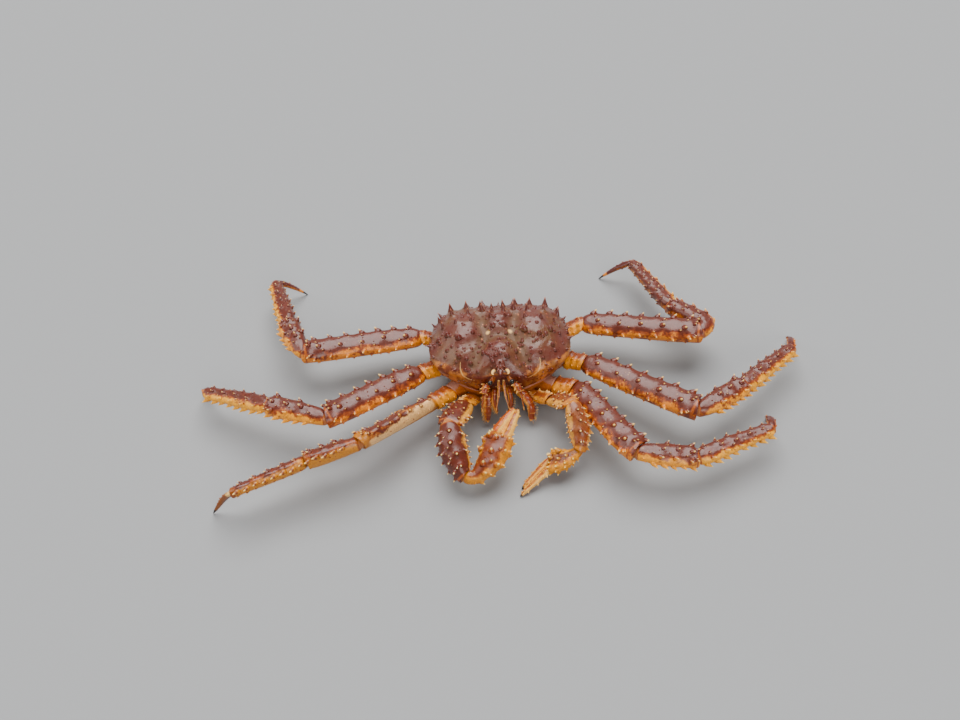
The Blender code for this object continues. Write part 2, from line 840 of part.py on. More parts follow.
# The thorax's half outlines at its top, at its waist and at the sternum, as (x, y)
THORAX_TOP = [
    (0, -50), (14, -53), (29, -57), (43, -50), (57, -42), (70, -31), (79, -14),
    (80, 10), (78, 32), (73, 48), (60, 62), (30, 69), (0, 70),
]
THORAX_WAIST = [
    (0, -46), (14, -49), (28, -53), (41, -47), (53, -39), (64, -28), (72, -12),
    (72, 10), (71, 32), (67, 48), (56, 61), (30, 69), (0, 70),
]
THORAX_FOOT = [
    (0, -32), (10, -33), (20, -33), (30, -31), (38, -27), (45, -20), (49, -8),
    (50, 8), (49, 24), (46, 38), (38, 51), (24, 59), (0, 62),
]
THORAX_LEVELS = [(STERNUM_HEIGHT, THORAX_FOOT), (14.0, THORAX_FOOT), (22.0, THORAX_WAIST),
                 (SEAM_HEIGHT - GAP / 2, THORAX_TOP)]
THORAX_SIDES = 24

# The eyes and the two pairs of feelers, as points from the root to the tip on the left side
EYE = [(9.5, -62, 68), (11.5, -67, 68.5), (13, -70.5, 69.5)]
EYE_WIDTHS = [(0, 3.2, 3.2), (0.5, 2.6, 2.6), (1, 3.4, 3.4)]
FEELER = [(18, -61.5, 54), (20, -66, 53.5), (23, -72, 49), (25.5, -79, 41), (27, -86, 30)]
FEELER_WIDTHS = [(0, 4.2, 4), (0.2, 3.4, 3.2), (0.36, 2.2, 2.1), (0.42, 1.1, 1.1), (1, 0.6, 0.6)]
SMALL_FEELER = [(3.2, -61.5, 60), (3.4, -67, 56), (4.4, -74, 48), (6.4, -81, 41), (8.5, -88, 34)]
SMALL_FEELER_WIDTHS = [(0, 2, 2), (0.5, 1.7, 1.7), (0.6, 1, 1), (1, 0.6, 0.6)]

# The outer jaws, as points from the root to the tip, and their sides as -1 for the right
JAWS = {
    "left": [(20, -57.5, 36), (26, -64, 37), (33, -73, 32), (36, -79, 23), (35, -86, 9)],
    "right": [(-17, -57.5, 36), (-18, -64, 38), (-18.5, -71, 33), (-19.5, -78, 24), (-20.5, -84, 10)],
}
JAW_WIDTHS = [(0, 5.6, 5.2), (0.3, 6, 5.6), (0.6, 5, 4.8), (0.85, 4, 3.8), (1, 2.2, 2.2)]


def mirrored(points, sense):
    """Points of the left side, or those of the right side for sense -1."""
    return [Vector((sense * x, y, z)) for x, y, z in points]


def boss(points, widths, reach, sides=FEELER_SIDES):
    """A short stub that a node grows from: it runs from inside the body to the node's root."""
    start, after = points[0] + BODY_AT, points[1] + BODY_AT
    way = (after - start).normalized()
    half_width, half_thickness = widths[0][1] * 1.08, widths[0][2] * 1.08
    ends = [start - way * reach, start - way * GAP]
    return Tube(ends, [(0, half_width, half_thickness), (1, half_width, half_thickness)],
                UP, sides, 2.2)


def build_face():
    """The eyes on their stalks, the feelers and the outer jaws."""
    for label, sense in (("left", 1), ("right", -1)):
        eye = mirrored(EYE, sense)
        stalk = Tube([p + BODY_AT for p in eye], EYE_WIDTHS, UP, 8)
        finish_node(f"{label}_eyestalk", stalk.mesh(), [], FEELERS)
        way = (eye[2] - eye[1]).normalized()
        ball = [eye[2] + way * d + BODY_AT for d in (GAP, 1.6, 3.4, 4.6)]
        lens = Tube(ball, [(0, 3.2, 3.2), (0.3, 3.9, 3.9), (0.75, 3.1, 3.1), (1, 1.4, 1.4)], UP, 8)
        finish_node(f"{label}_eye", lens.mesh(), [], CORNEA)
        for name, points, widths in (
            ("feeler", FEELER, FEELER_WIDTHS),
            ("small_feeler", SMALL_FEELER, SMALL_FEELER_WIDTHS),
        ):
            path = [p + BODY_AT for p in mirrored(points, sense)]
            finish_node(f"{label}_{name}", Tube(path, widths, UP, FEELER_SIDES).mesh(), [], FEELERS)
        path = [Vector(p) + BODY_AT for p in JAWS[label]]
        finish_node(f"{label}_jaw", Tube(path, JAW_WIDTHS, UP, 8).mesh(), [], FEELERS)


def build_body():
    """The carapace, the thorax with its sockets, and the tail flap folded under it."""
    stubs = []
    for sense in (-1, 1):
        stubs.append(boss(mirrored(EYE, sense), EYE_WIDTHS, 12).mesh())
        stubs.append(boss(mirrored(FEELER, sense), FEELER_WIDTHS, 12).mesh())
        stubs.append(boss(mirrored(SMALL_FEELER, sense), SMALL_FEELER_WIDTHS, 9).mesh())
    thorns = [s.mesh() for s in shell_thorns()]
    rostrum = straight_tube(ROSTRUM, ROSTRUM_WIDTHS, 8).mesh()
    finish_node("carapace", shell_mesh(), [rostrum, *stubs, *thorns], SHELL)

    bm = bmesh.new()
    rings = []
    for z, half in THORAX_LEVELS:
        outline = full_outline(half, THORAX_SIDES)
        rings.append([bm.verts.new((q + UP * z + BODY_AT) * MM) for q in outline])
    skin(bm, rings)
    stubs = [boss([Vector(p) for p in jaw], JAW_WIDTHS, 14, 8).mesh() for jaw in JAWS.values()]
    for limb in LEGS:
        points = [Vector(limb.socket), Vector(limb.root)]
        stubs.append(boss(points, HIP_WIDTHS, 26, LEG_SIDES).mesh())
    for claw in CLAWS:
        points = [Vector(claw.socket), Vector(claw.joints[0])]
        stubs.append(boss(points, scaled(CLAW_HIP_WIDTHS, claw.girth), 20, LEG_SIDES).mesh())
    finish_node("thorax", bm, stubs, BELLY)
    build_tail()


TAIL_ROOT = Vector((0, 70.4, 32))
TAIL_FLAT = TAIL_THICKNESS / 2 - 0.5
TAIL_TURN = (TAIL_ROOT.z - TAIL_FLAT) / 2
TAIL_END = -14.0
TAIL_WIDTHS = [
    (0, 26, 4.4), (0.2, 34, 4.8), (0.45, 33, 4.8), (0.75, 25, 4.8), (0.95, 13, 4.8), (1, 7, 4.4),
]


def build_tail():
    """The tail flap: a plate that leaves the rear, turns under and lies flat on the floor."""
    path = [TAIL_ROOT.copy()]
    centre = TAIL_ROOT + Vector((0, 2, -TAIL_TURN))
    for k in range(9):
        a = math.pi * k / 8
        path.append(centre + Vector((0, math.sin(a), math.cos(a))) * TAIL_TURN)
    last = path[-1].copy()
    for k in range(1, 8):
        path.append(last.lerp(Vector((0, TAIL_END, last.z)), k / 7))
    rings = []
    bm = bmesh.new()
    steps = [(b - a).length for a, b in zip(path, path[1:])]
    for i, p in enumerate(path):
        t = sum(steps[:i]) / sum(steps)
        half_width, half_thickness = profile(TAIL_WIDTHS, t)
        before, after = path[max(i - 1, 0)], path[min(i + 1, len(path) - 1)]
        tangent = (after - before).normalized()
        lift = Vector((1, 0, 0)).cross(tangent)
        ring = []
        for k in range(12):
            x, y = rounded(2 * math.pi * (k + 0.5) / 12, 3.6)
            point = p + Vector((half_width * x, 0, 0)) + lift * (half_thickness * y)
            ring.append(bm.verts.new((point + BODY_AT) * MM))
        rings.append(ring)
    skin(bm, rings)
    finish_node("tail_flap", bm, [], BELLY, True)


def clear_scene():
    """Removes whatever the file opened with."""
    for obj in list(bpy.data.objects):
        bpy.data.objects.remove(obj)


def main():
    """Builds every node of the crab."""
    clear_scene()
    build_body()
    build_face()
    for limb in LEGS:
        build_leg(limb)
    for claw in CLAWS:
        build_claw(claw)


main()
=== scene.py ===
"""Dresses the red king crab: fine shell plates, thorns, joints and wet finishes on its solids."""

import logging
import math
import random
from dataclasses import dataclass, field
from enum import Enum

import bpy
import numpy as np
from mathutils import Matrix, Vector
from mathutils.bvhtree import BVHTree


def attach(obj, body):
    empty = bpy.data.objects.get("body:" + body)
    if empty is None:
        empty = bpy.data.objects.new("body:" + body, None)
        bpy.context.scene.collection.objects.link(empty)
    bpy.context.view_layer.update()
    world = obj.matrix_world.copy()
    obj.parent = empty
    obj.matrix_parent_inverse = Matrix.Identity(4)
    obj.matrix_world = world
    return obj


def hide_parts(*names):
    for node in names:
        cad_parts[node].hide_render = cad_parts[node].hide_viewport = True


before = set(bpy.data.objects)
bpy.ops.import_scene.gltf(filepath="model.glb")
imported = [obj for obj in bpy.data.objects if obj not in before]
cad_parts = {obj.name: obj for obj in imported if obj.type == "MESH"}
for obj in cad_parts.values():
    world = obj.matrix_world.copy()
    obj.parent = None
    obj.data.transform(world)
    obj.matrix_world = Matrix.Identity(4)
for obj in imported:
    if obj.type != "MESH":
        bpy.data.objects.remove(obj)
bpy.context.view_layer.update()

LOG = logging.getLogger("crab")

MM = 0.001
UP = Vector((0, 0, 1))
ACROSS = Vector((1, 0, 0))

# Where the middle of the body lies from the origin, in millimetres as all sizes below
BODY_AT = Vector((6.9, 9.0, 0.0))
GAP = 0.34
TIP_HEIGHT = 0.5

# How far from its ends a run's rings tilt into the joints' planes: share of its length, widths
TILT_REACH = (0.4, 1.3)
# How far a surface rises round the root of a thorn: share of its height, radii
PLATE_SWELL = (0.28, 2.1)
SHELL_SWELL = (0.3, 2.0)

Piece = bpy.types.Object
Number = float | np.ndarray
Table = list[tuple[float, float, float]]
Colour = tuple[float, float, float]


class Slot(Enum):
    """The record's material slots."""

    SHELL = "shell"
    JOINT = "joint"
    BELLY = "belly"
    FEELERS = "feelers"
    HORN = "horn"
    CORNEA = "cornea"


class ThornKind(Enum):
    """The shapes of what stands on the plates."""

    SPINE = "spine"
    KNOB = "knob"
    HAIR = "hair"


# Rows of (height share, radius share, forward lean) from the root to the tip
THORN_ROWS = {
    ThornKind.SPINE: [
        (-0.45, 1.3, 0.0), (-0.08, 1.15, 0.0), (0.12, 0.9, 0.01), (0.34, 0.64, 0.03),
        (0.6, 0.4, 0.08), (0.86, 0.19, 0.15), (1.0, 0.05, 0.18),
    ],
    ThornKind.KNOB: [
        (-0.3, 1.3, 0.0), (0.0, 1.12, 0.0), (0.3, 0.95, 0.0), (0.62, 0.72, 0.0),
        (0.88, 0.4, 0.0), (1.0, 0.12, 0.0),
    ],
    ThornKind.HAIR: [(-0.1, 1.0, 0.0), (0.5, 0.8, 0.1), (1.0, 0.3, 0.35)],
}


def heading(azimuth: float, pitch: float = 0.0) -> Vector:
    """The unit vector with this heading and this pitch, both in degrees."""
    a, p = math.radians(azimuth), math.radians(pitch)
    return Vector((math.cos(a) * math.cos(p), math.sin(a) * math.cos(p), math.sin(p)))


def mix(a: Number, b: Number, share: Number) -> Number:
    """The value this share of the way from a to b."""
    return a + (b - a) * share


def swing(a: Vector, b: Vector, degrees: float) -> Vector:
    """The direction a turned towards b by up to this many degrees.

    Args:
        a: the direction that turns.
        b: the direction that it turns to.
        degrees: the most that it turns.

    Returns:
        The new direction, of unit length.
    """
    angle = a.angle(b, 0.0)
    if angle < 1e-4:
        return a.copy()
    share = min(1.0, math.radians(degrees) / angle)
    return (a * math.sin((1 - share) * angle) + b * math.sin(share * angle)).normalized()


def profile(table: Table, t: float) -> tuple[float, float]:
    """The (half width, half thickness) at share t, from rows of (t, width, thickness).

    Args:
        table: rows of (t, width, thickness).
        t: the share of the length.

    Returns:
        The half width and the half thickness.
    """
    for low, high in zip(table, table[1:]):
        if t <= high[0]:
            share = (t - low[0]) / (high[0] - low[0])
            return mix(low[1], high[1], share), mix(low[2], high[2], share)
    return table[-1][1:]


def scaled(table: Table, factor: float) -> Table:
    """A table of widths with its sizes scaled."""
    return [(t, a * factor, b * factor) for t, a, b in table]


def smooth(x: np.ndarray) -> np.ndarray:
    """The smooth step of x, cut to 0..1."""
    x = np.clip(x, 0, 1)
    return x * x * (3 - 2 * x)


def curve(points: np.ndarray, steps: int, closed: bool = False) -> np.ndarray:
    """A smooth curve through points.

    Args:
        points: one row for each point.
        steps: how many steps each span has.
        closed: whether it runs on from its last point to its first.

    Returns:
        The curve's points, one row each.
    """
    count, fine = len(points), []
    for i in range(count if closed else count - 1):
        near = range(i - 1, i + 3)
        a, b, c, d = points[[j % count if closed else min(max(j, 0), count - 1) for j in near]]
        for t in np.arange(steps) / steps:
            fine.append(0.5 * (2 * b + (c - a) * t + (2 * a - 5 * b + 4 * c - d) * t * t
                               + (3 * b - a - 3 * c + d) * t ** 3))
    return np.array(fine if closed else [*fine, points[-1]])


def ring_places(points: np.ndarray, sides: int) -> tuple[np.ndarray, np.ndarray]:
    """Which ring of an upright loft each point is in, and its place round an outline.

    Args:
        points: the loft's points, ring by ring.
        sides: how many points a ring has.

    Returns:
        The numbers of the rings, and the numbers of the outline's points.
    """
    turn = np.arctan2(points[:, 1], points[:, 0]) + np.pi / 2
    place = np.round(turn / (2 * np.pi) * sides).astype(int) % sides
    return np.arange(len(points)) // sides, place


def swelling(points: np.ndarray, seats: list, least: float,
             swell: tuple[float, float]) -> np.ndarray:
    """How far each point rises at the swollen roots of the large thorns.

    Args:
        points: rows of x, y, z in millimetres.
        seats: the seats of the thorns.
        least: the height over which a thorn counts as large.
        swell: the rise as a share of its height, and the reach as a share of its radius.

    Returns:
        One amount for each point, in millimetres.
    """
    amounts = np.zeros(len(points))
    for seat in seats:
        if seat.height > least:
            away = ((points - np.array(seat.root)) ** 2).sum(1)
            amounts += swell[0] * seat.height * np.exp(-away / (swell[1] * seat.radius) ** 2)
    return amounts


class Bench:
    """The modelling bench: Blender's operators on one object at a time."""

    @staticmethod
    def hold(*objs: Piece) -> None:
        """Selects these objects and nothing else; the last one is active.

        Args:
            *objs: the objects.
        """
        for obj in bpy.context.selected_objects:
            obj.select_set(False)
        for obj in objs:
            obj.select_set(True)
        bpy.context.view_layer.objects.active = objs[-1] if objs else None

    @staticmethod
    def edit() -> None:
        """Goes into edit mode with all selected."""
        bpy.ops.object.mode_set(mode="EDIT")
        bpy.ops.mesh.select_all(action="SELECT")

    @staticmethod
    def leave() -> None:
        """Goes back to object mode."""
        bpy.ops.object.mode_set(mode="OBJECT")

    @staticmethod
    def turn(rotation: Matrix, centre: Vector) -> None:
        """Rotates what is selected about a centre, given in metres.

        Args:
            rotation: the rotation.
            centre: the point that stays, in metres.
        """
        for axis, angle in zip("XYZ", rotation.to_euler("XYZ")):
            if abs(angle) > 1e-7:
                bpy.ops.transform.rotate(
                    value=-angle, orient_axis=axis, orient_type="GLOBAL", center_override=centre
                )

    @staticmethod
    def stretch(sizes: tuple, basis: Matrix, centre: Vector) -> None:
        """Scales what is selected along the axes of a basis, about a centre in metres.

        Args:
            sizes: the factors along the basis's axes.
            basis: the basis.
            centre: the point that stays, in metres.
        """
        bpy.ops.transform.resize(
            value=sizes, orient_type="GLOBAL", orient_matrix=basis,
            orient_matrix_type="GLOBAL", center_override=centre,
        )

    @staticmethod
    def modify(obj: Piece, kind: str, **settings: object) -> None:
        """Adds a modifier to the object and applies it.

        Args:
            obj: the object.
            kind: the modifier's type.
            **settings: its properties.
        """
        Bench.hold(obj)
        modifier = obj.modifiers.new(kind.lower(), kind)
        for name, value in settings.items():
            setattr(modifier, name, value)
        bpy.ops.object.modifier_apply(modifier=modifier.name)

    @staticmethod
    def subdivide(obj: Piece, levels: int) -> None:
        """Smooths the object with subdivision surfaces."""
        Bench.modify(obj, "SUBSURF", levels=levels, render_levels=levels)

    @staticmethod
    def push(obj: Piece, amounts: np.ndarray, direction: str) -> None:
        """Moves each vertex by its amount in metres, along an axis or its normal.

        Args:
            obj: the mesh object.
            amounts: one amount for each vertex.
            direction: X, Y, Z or NORMAL.
        """
        for sense in (1, -1):
            share = np.clip(amounts * sense, 0, None)
            top = float(share.max(initial=0.0))
            if top < 1e-7:
                continue
            group = obj.vertex_groups.new(name="push")
            for i in np.nonzero(share > top * 1e-4)[0].tolist():
                group.add([i], float(share[i] / top), "REPLACE")
            Bench.modify(obj, "DISPLACE", direction=direction, strength=sense * top,
                         mid_level=0.0, vertex_group="push")
            obj.vertex_groups.remove(obj.vertex_groups["push"])

    @staticmethod
    def move(obj: Piece, steps: np.ndarray) -> None:
        """Moves each vertex by its step, a row of x, y, z in millimetres."""
        for axis, name in enumerate("XYZ"):
            Bench.push(obj, steps[:, axis] * MM, name)

    @staticmethod
    def lumps(obj: Piece, size: float, strength: float) -> None:
        """Makes the surface slightly uneven, with lumps of this size, both in millimetres.

        Args:
            obj: the object.
            size: how wide a lump is.
            strength: how high the lumps are.
        """
        texture = bpy.data.textures.get(f"lumps_{size}")
        if texture is None:
            texture = bpy.data.textures.new(f"lumps_{size}", "CLOUDS")
            texture.noise_scale = size * MM
            texture.noise_depth = 2
        Bench.modify(obj, "DISPLACE", texture=texture, texture_coords="LOCAL",
                     strength=strength * MM, mid_level=0.5)

    @staticmethod
    def join(obj: Piece, others: list) -> None:
        """Joins other objects to the object.

        Args:
            obj: the object that stays.
            others: the objects that become part of it.
        """
        if others:
            Bench.hold(*others, obj)
            bpy.ops.object.join()

    @staticmethod
    def points(obj: Piece) -> np.ndarray:
        """The object's vertices in millimetres, one row each.

        Args:
            obj: the object.

        Returns:
            Rows of x, y, z.
        """
        co = np.empty(len(obj.data.vertices) * 3, np.float32)
        obj.data.vertices.foreach_get("co", co)
        return co.reshape(-1, 3).astype(float) / MM

    @staticmethod
    def mark(obj: Piece, name: str, values: np.ndarray) -> None:
        """Writes one number for each vertex as an attribute that the finish reads.

        Args:
            obj: the object.
            name: the attribute's name.
            values: one number for each vertex.
        """
        attribute = obj.data.attributes.get(name)
        if attribute is None:
            attribute = obj.data.attributes.new(name, "FLOAT", "POINT")
        attribute.data.foreach_set("value", values.astype(np.float32))

    @staticmethod
    def marks(obj: Piece, **values: np.ndarray) -> None:
        """Writes several vertex attributes, each under its name."""
        for name, numbers in values.items():
            Bench.mark(obj, name, numbers)

    @staticmethod
    def read(obj: Piece, name: str) -> np.ndarray:
        """The values of a vertex attribute, or zeros where the object has none.

        Args:
            obj: the object.
            name: the attribute's name.

        Returns:
            One number for each vertex.
        """
        values = np.zeros(len(obj.data.vertices), np.float32)
        attribute = obj.data.attributes.get(name)
        if attribute is not None:
            attribute.data.foreach_get("value", values)
        return values

    @staticmethod
    def tree(obj: Piece) -> BVHTree:
        """The object's surface, for finding the nearest point on it."""
        return BVHTree.FromObject(obj, bpy.context.evaluated_depsgraph_get())

    @staticmethod
    def finish(obj: Piece, material: bpy.types.Material, slot: Slot,
               *nodes: str) -> None:
        """Dresses a piece, shades it smooth and lets it stand for its nodes.

        Args:
            obj: the piece.
            material: its material, where it has none yet.
            slot: its material slot; not used.
            *nodes: the nodes that it stands for.
        """
        if not obj.data.materials:
            obj.data.materials.append(material)
        Bench.hold(obj)
        bpy.ops.object.shade_smooth()
        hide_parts(*nodes)
        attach(obj, "root")
        LOG.info("%s: %d faces", obj.name, len(obj.data.polygons))


@dataclass
class Station:
    """One ring of a lofted plate, in millimetres; the basis holds side, lift and normal."""

    centre: Vector
    basis: Matrix
    width: float
    thickness: float


def basis_of(normal: Vector, lift: Vector) -> Matrix:
    """The matrix whose columns are a ring's side, its upper side and its normal."""
    side = normal.cross(lift).normalized()
    return Matrix((side, side.cross(normal), normal)).transposed()


def loft(name: str, stations: list[Station], sides: int) -> Piece:
    """A closed plate, drawn out ring by ring from a disc.

    Args:
        name: the object's name.
        stations: the rings from the start to the end.
        sides: how many points a ring has.

    Returns:
        The object, in object mode.
    """
    Bench.hold()
    bpy.ops.mesh.primitive_circle_add(vertices=sides, radius=MM, fill_type="NGON")
    obj = bpy.context.active_object
    obj.name = obj.data.name = name
    Bench.edit()
    first = stations[0]
    bpy.ops.transform.resize(value=(first.width, first.thickness, 1))
    Bench.turn(first.basis, Vector())
    bpy.ops.transform.translate(value=first.centre * MM)
    for last, new in zip(stations, stations[1:]):
        step = (new.centre - last.centre) * MM
        bpy.ops.mesh.extrude_region_move(TRANSFORM_OT_translate={"value": step})
        sizes = (new.width / last.width, new.thickness / last.thickness, 1)
        Bench.stretch(sizes, last.basis, new.centre * MM)
        Bench.turn(new.basis @ last.basis.transposed(), new.centre * MM)
    bpy.ops.mesh.select_all(action="SELECT")
    bpy.ops.mesh.normals_make_consistent(inside=False)
    Bench.leave()
    return obj


@dataclass
class Seat:
    """Where one thorn stands and how large it is; settle is the share of the surface's normal."""

    kind: ThornKind
    root: Vector
    way: Vector
    forward: Vector
    radius: float
    height: float
    lean: float = 0.0
    settle: float = 0.5


class Thorns:
    """The thorn shapes, each modelled once, and their copies."""

    models: dict = {}

    @classmethod
    def model(cls, kind: ThornKind) -> Piece:
        """The model of this kind, one unit high and one unit in radius.

        Args:
            kind: its shape.

        Returns:
            The model, built at its first use.
        """
        if kind not in cls.models:
            rings = [
                Station(Vector((x, 0, z)) / MM, Matrix.Identity(3), radius / MM, radius / MM)
                for z, radius, x in THORN_ROWS[kind]
            ]
            obj = loft(f"model_{kind.value}", rings, 5 if kind is ThornKind.HAIR else 11)
            share = 0.5 if kind is ThornKind.KNOB else 1.0
            Bench.mark(obj, "tip", share * np.clip(Bench.points(obj)[:, 2] * MM, 0.001, 1))
            Bench.hold(obj)
            bpy.ops.object.shade_smooth()
            cls.models[kind] = obj
        return cls.models[kind]

    @classmethod
    def copy(cls, kind: ThornKind, root: Vector, way: Vector, forward: Vector,
             radius: float, height: float) -> Piece:
        """A thorn at a root, with its own mesh.

        Args:
            kind: its shape.
            root: where it stands, in millimetres.
            way: where it points.
            forward: the way it leans.
            radius: its radius at the root.
            height: its height.

        Returns:
            The new object.
        """
        model = cls.model(kind)
        obj = model.copy()
        obj.data = model.data.copy()
        bpy.context.scene.collection.objects.link(obj)
        across = way.cross(forward)
        if across.length < 1e-4:
            across = way.orthogonal()
        across.normalize()
        turn = Matrix((across.cross(way), across, way)).transposed()
        sizes = Matrix.Diagonal((radius, radius, height))
        obj.matrix_world = Matrix.Translation(root * MM) @ (turn @ sizes * MM).to_4x4()
        return obj

    @classmethod
    def plant(cls, obj: Piece, seats: list["Seat"]) -> list[Piece]:
        """Stands copies on an object's surface.

        Args:
            obj: the object, which stays as it is.
            seats: the thorns' seats, each moved to the nearest point of the surface.

        Returns:
            The copies.
        """
        tree, copies = Bench.tree(obj), []
        for seat in seats:
            root, face, _, _ = tree.find_nearest(seat.root * MM)
            way = (seat.way.lerp(face, seat.settle) + seat.forward * seat.lean).normalized()
            copies.append(cls.copy(seat.kind, root / MM, way, seat.forward, seat.radius,
                                   seat.height))
        return copies

    @classmethod
    def clear(cls) -> None:
        """Removes the models."""
        for obj in cls.models.values():
            bpy.data.objects.remove(obj)
        cls.models.clear()


@dataclass
class Run:
    """The curved line that a limb segment follows, with the planes of its ends."""

    path: list[Vector]
    widths: Table
    lift: Vector
    start_normal: Vector | None
    end_normal: Vector | None

    def __post_init__(self) -> None:
        """Samples the smooth curve through the path."""
        self.fine = curve(np.array([tuple(p) for p in self.path]), 8)
        steps = np.linalg.norm(np.diff(self.fine, axis=0), axis=1)
        self.shares = np.concatenate([[0], np.cumsum(steps)]) / steps.sum()
        self.length = float(steps.sum())

    def inside(self, t: float) -> Vector:
        """The line's point at share t, from 0 to 1."""
        return Vector([np.interp(t, self.shares, self.fine[:, k]) for k in range(3)])

    def centre(self, t: float) -> Vector:
        """The line's point at share t, which may lie beyond its ends."""
        cut = min(max(t, 0.0), 1.0)
        return self.inside(cut) + self.tangent(t) * ((t - cut) * self.length)

    def tangent(self, t: float) -> Vector:
        """The line's direction at share t."""
        low, high = max(min(t, 1.0) - 0.02, 0.0), min(max(t, 0.0) + 0.02, 1.0)
        return (self.inside(high) - self.inside(low)).normalized()

    def station(self, t: float, width: float, thickness: float) -> Station:
        """The ring at share t, which tilts into the joint's plane near each end.

        Args:
            t: the share of the run's length.
            width: the ring's half width.
            thickness: the ring's half thickness.

        Returns:
            The ring.
        """
        normal = self.tangent(t)
        reach = min(TILT_REACH[0], TILT_REACH[1] * width / self.length)
        for plane, gone in ((self.start_normal, max(t, 0)), (self.end_normal, 1 - min(t, 1))):
            if plane is not None and gone < reach:
                normal = normal.lerp(plane, float(smooth(np.array(1 - gone / reach)))).normalized()
        return Station(self.centre(t), basis_of(normal, self.lift), width, thickness)

    def surface(self, t: float, angle: float) -> tuple[Vector, Vector, Vector]:
        """(point, outward normal, tangent) at share t and this angle from the side.

        Args:
            t: the share of the length.
            angle: the angle from the side, in degrees.

        Returns:
            The point, the way out of the surface and the way forward.
        """
        width, thickness = profile(self.widths, t)
        basis = basis_of(self.tangent(t), self.lift)
        side, lift, tangent = (basis.col[k] for k in range(3))
        x, y = math.cos(math.radians(angle)), math.sin(math.radians(angle))
        point = self.centre(t) + side * (width * x) + lift * (thickness * y)
        normal = (side * (x / width) + lift * (y / thickness)).normalized()
        return point, normal, tangent

    def measure(self, points: np.ndarray) -> tuple[np.ndarray, np.ndarray]:
        """How far along the line and at which angle round it each point lies.

        Args:
            points: rows of x, y, z in millimetres.

        Returns:
            The shares of the length, and the angles from the side in radians.
        """
        shares = np.linspace(0, 1, 80)
        bases = [basis_of(self.tangent(t), self.lift) for t in shares]
        centres = np.array([self.centre(t) for t in shares])
        away = ((points[:, None, :] - centres[None]) ** 2).sum(-1)
        near = away.argmin(1)
        offset = points - centres[near]
        axes = [np.array([tuple(b.col[k]) for b in bases])[near] for k in range(3)]
        side, lift, ahead = ((offset * axis).sum(1) for axis in axes)
        sizes = np.array([profile(self.widths, t) for t in shares])[near]
        along = shares[near] + ahead / self.length
        return along, np.arctan2(lift / sizes[:, 1], side / sizes[:, 0])


def bent_path(start: Vector, start_way: Vector, end: Vector, radius: float, neck: float,
              tail: float, bow: Vector) -> list[Vector]:
    """A path that leaves start along start_way, turns on an arc and runs on to end.

    Args:
        start: its first point.
        start_way: its first direction.
        end: its last point.
        radius: the arc's radius.
        neck: how far it runs before the arc.
        tail: how far it runs at its end without a point.
        bow: how far the middle of its straight run is pushed out.

    Returns:
        The points.
    """
    way = (end - start).normalized()
    for _ in range(8):
        turn = start_way.angle(way, 0.0)
        corner = start + start_way * (neck + radius * math.tan(turn / 2))
        way = (end - corner).normalized()
    turn = start_way.angle(way, 0.0)
    arc_start = start + start_way * neck
    points = [start.copy()]
    steps = 1 + int(turn / math.radians(26))
    if turn > math.radians(4):
        inward = (way - start_way * way.dot(start_way)).normalized()
        for k in range(steps + 1):
            a = turn * k / steps
            points.append(arc_start + start_way * (radius * math.sin(a))
                          + inward * (radius * (1 - math.cos(a))))
    else:
        points.append(arc_start)
    last = points[-1].copy()
    straight = end - last
    reach = max(0.3, 1 - tail / straight.length)
    for k in range(1, 5):
        share = reach * k / 4
        points.append(last + straight * share + bow * math.sin(math.pi * share))
    points.append(end.copy())
    return points


def segment_runs(joints: list, widths: list, lifts: list, mitre: float, bows: list) -> list[Run]:
    """One run for each pair of joints, each starting part of the way round the bend.

    Args:
        joints: the joints' places.
        widths: each run's table.
        lifts: each run's upper side.
        mitre: the most that a joint's plane may slant, in degrees.
        bows: how far each run bows sideways.

    Returns:
        The runs.
    """
    runs = []
    way = (joints[1] - joints[0]).normalized()
    normal = way.copy()
    for i, (start, end) in enumerate(zip(joints, joints[1:])):
        half_width, last_width = widths[i][0][1], widths[i][-1][1]
        neck = 1.6 + half_width * math.tan(way.angle(normal, 0.0))
        chord = (joints[i + 2] - end).normalized() if i + 2 < len(joints) else None
        slant = min(math.radians(mitre), (end - start).angle(chord, 0.0) / 2) if chord else 0.0
        tail = 1.6 + last_width * math.tan(slant)
        bow = UP.cross(end - start).normalized() * bows[i]
        path = bent_path(start + normal * (GAP / 2), way, end, 1.2 * half_width, neck, tail, bow)
        final = (path[-1] - path[-2]).normalized()
        end_normal, next_way = final, final
        if chord:
            next_way = swing(final, chord, 2 * mitre)
            end_normal = (final + next_way).normalized()
            path[-1] = path[-1] - final * (GAP / 2 / final.dot(end_normal))
        runs.append(Run(path, widths[i], lifts[i], normal.copy(), end_normal.copy()))
        way, normal = next_way, end_normal
    return runs


class Value:
    """An output in a node tree, which adds, subtracts and multiplies like a number."""

    def __init__(self, graph: "Graph", socket: bpy.types.NodeSocket) -> None:
        """Takes the graph and the output's socket."""
        self.graph, self.socket = graph, socket

    def __add__(self, other: "Value | float") -> "Value":
        """The sum."""
        return self.graph.math("ADD", self, other)

    def __radd__(self, other: float) -> "Value":
        """The sum with a number on the left."""
        return self.graph.math("ADD", other, self)

    def __sub__(self, other: "Value | float") -> "Value":
        """The difference."""
        return self.graph.math("SUBTRACT", self, other)

    def __rsub__(self, other: float) -> "Value":
        """The difference from a number."""
        return self.graph.math("SUBTRACT", other, self)

    def __mul__(self, other: "Value | float") -> "Value":
        """The product."""
        return self.graph.math("MULTIPLY", self, other)


Feed = Value | Colour | float


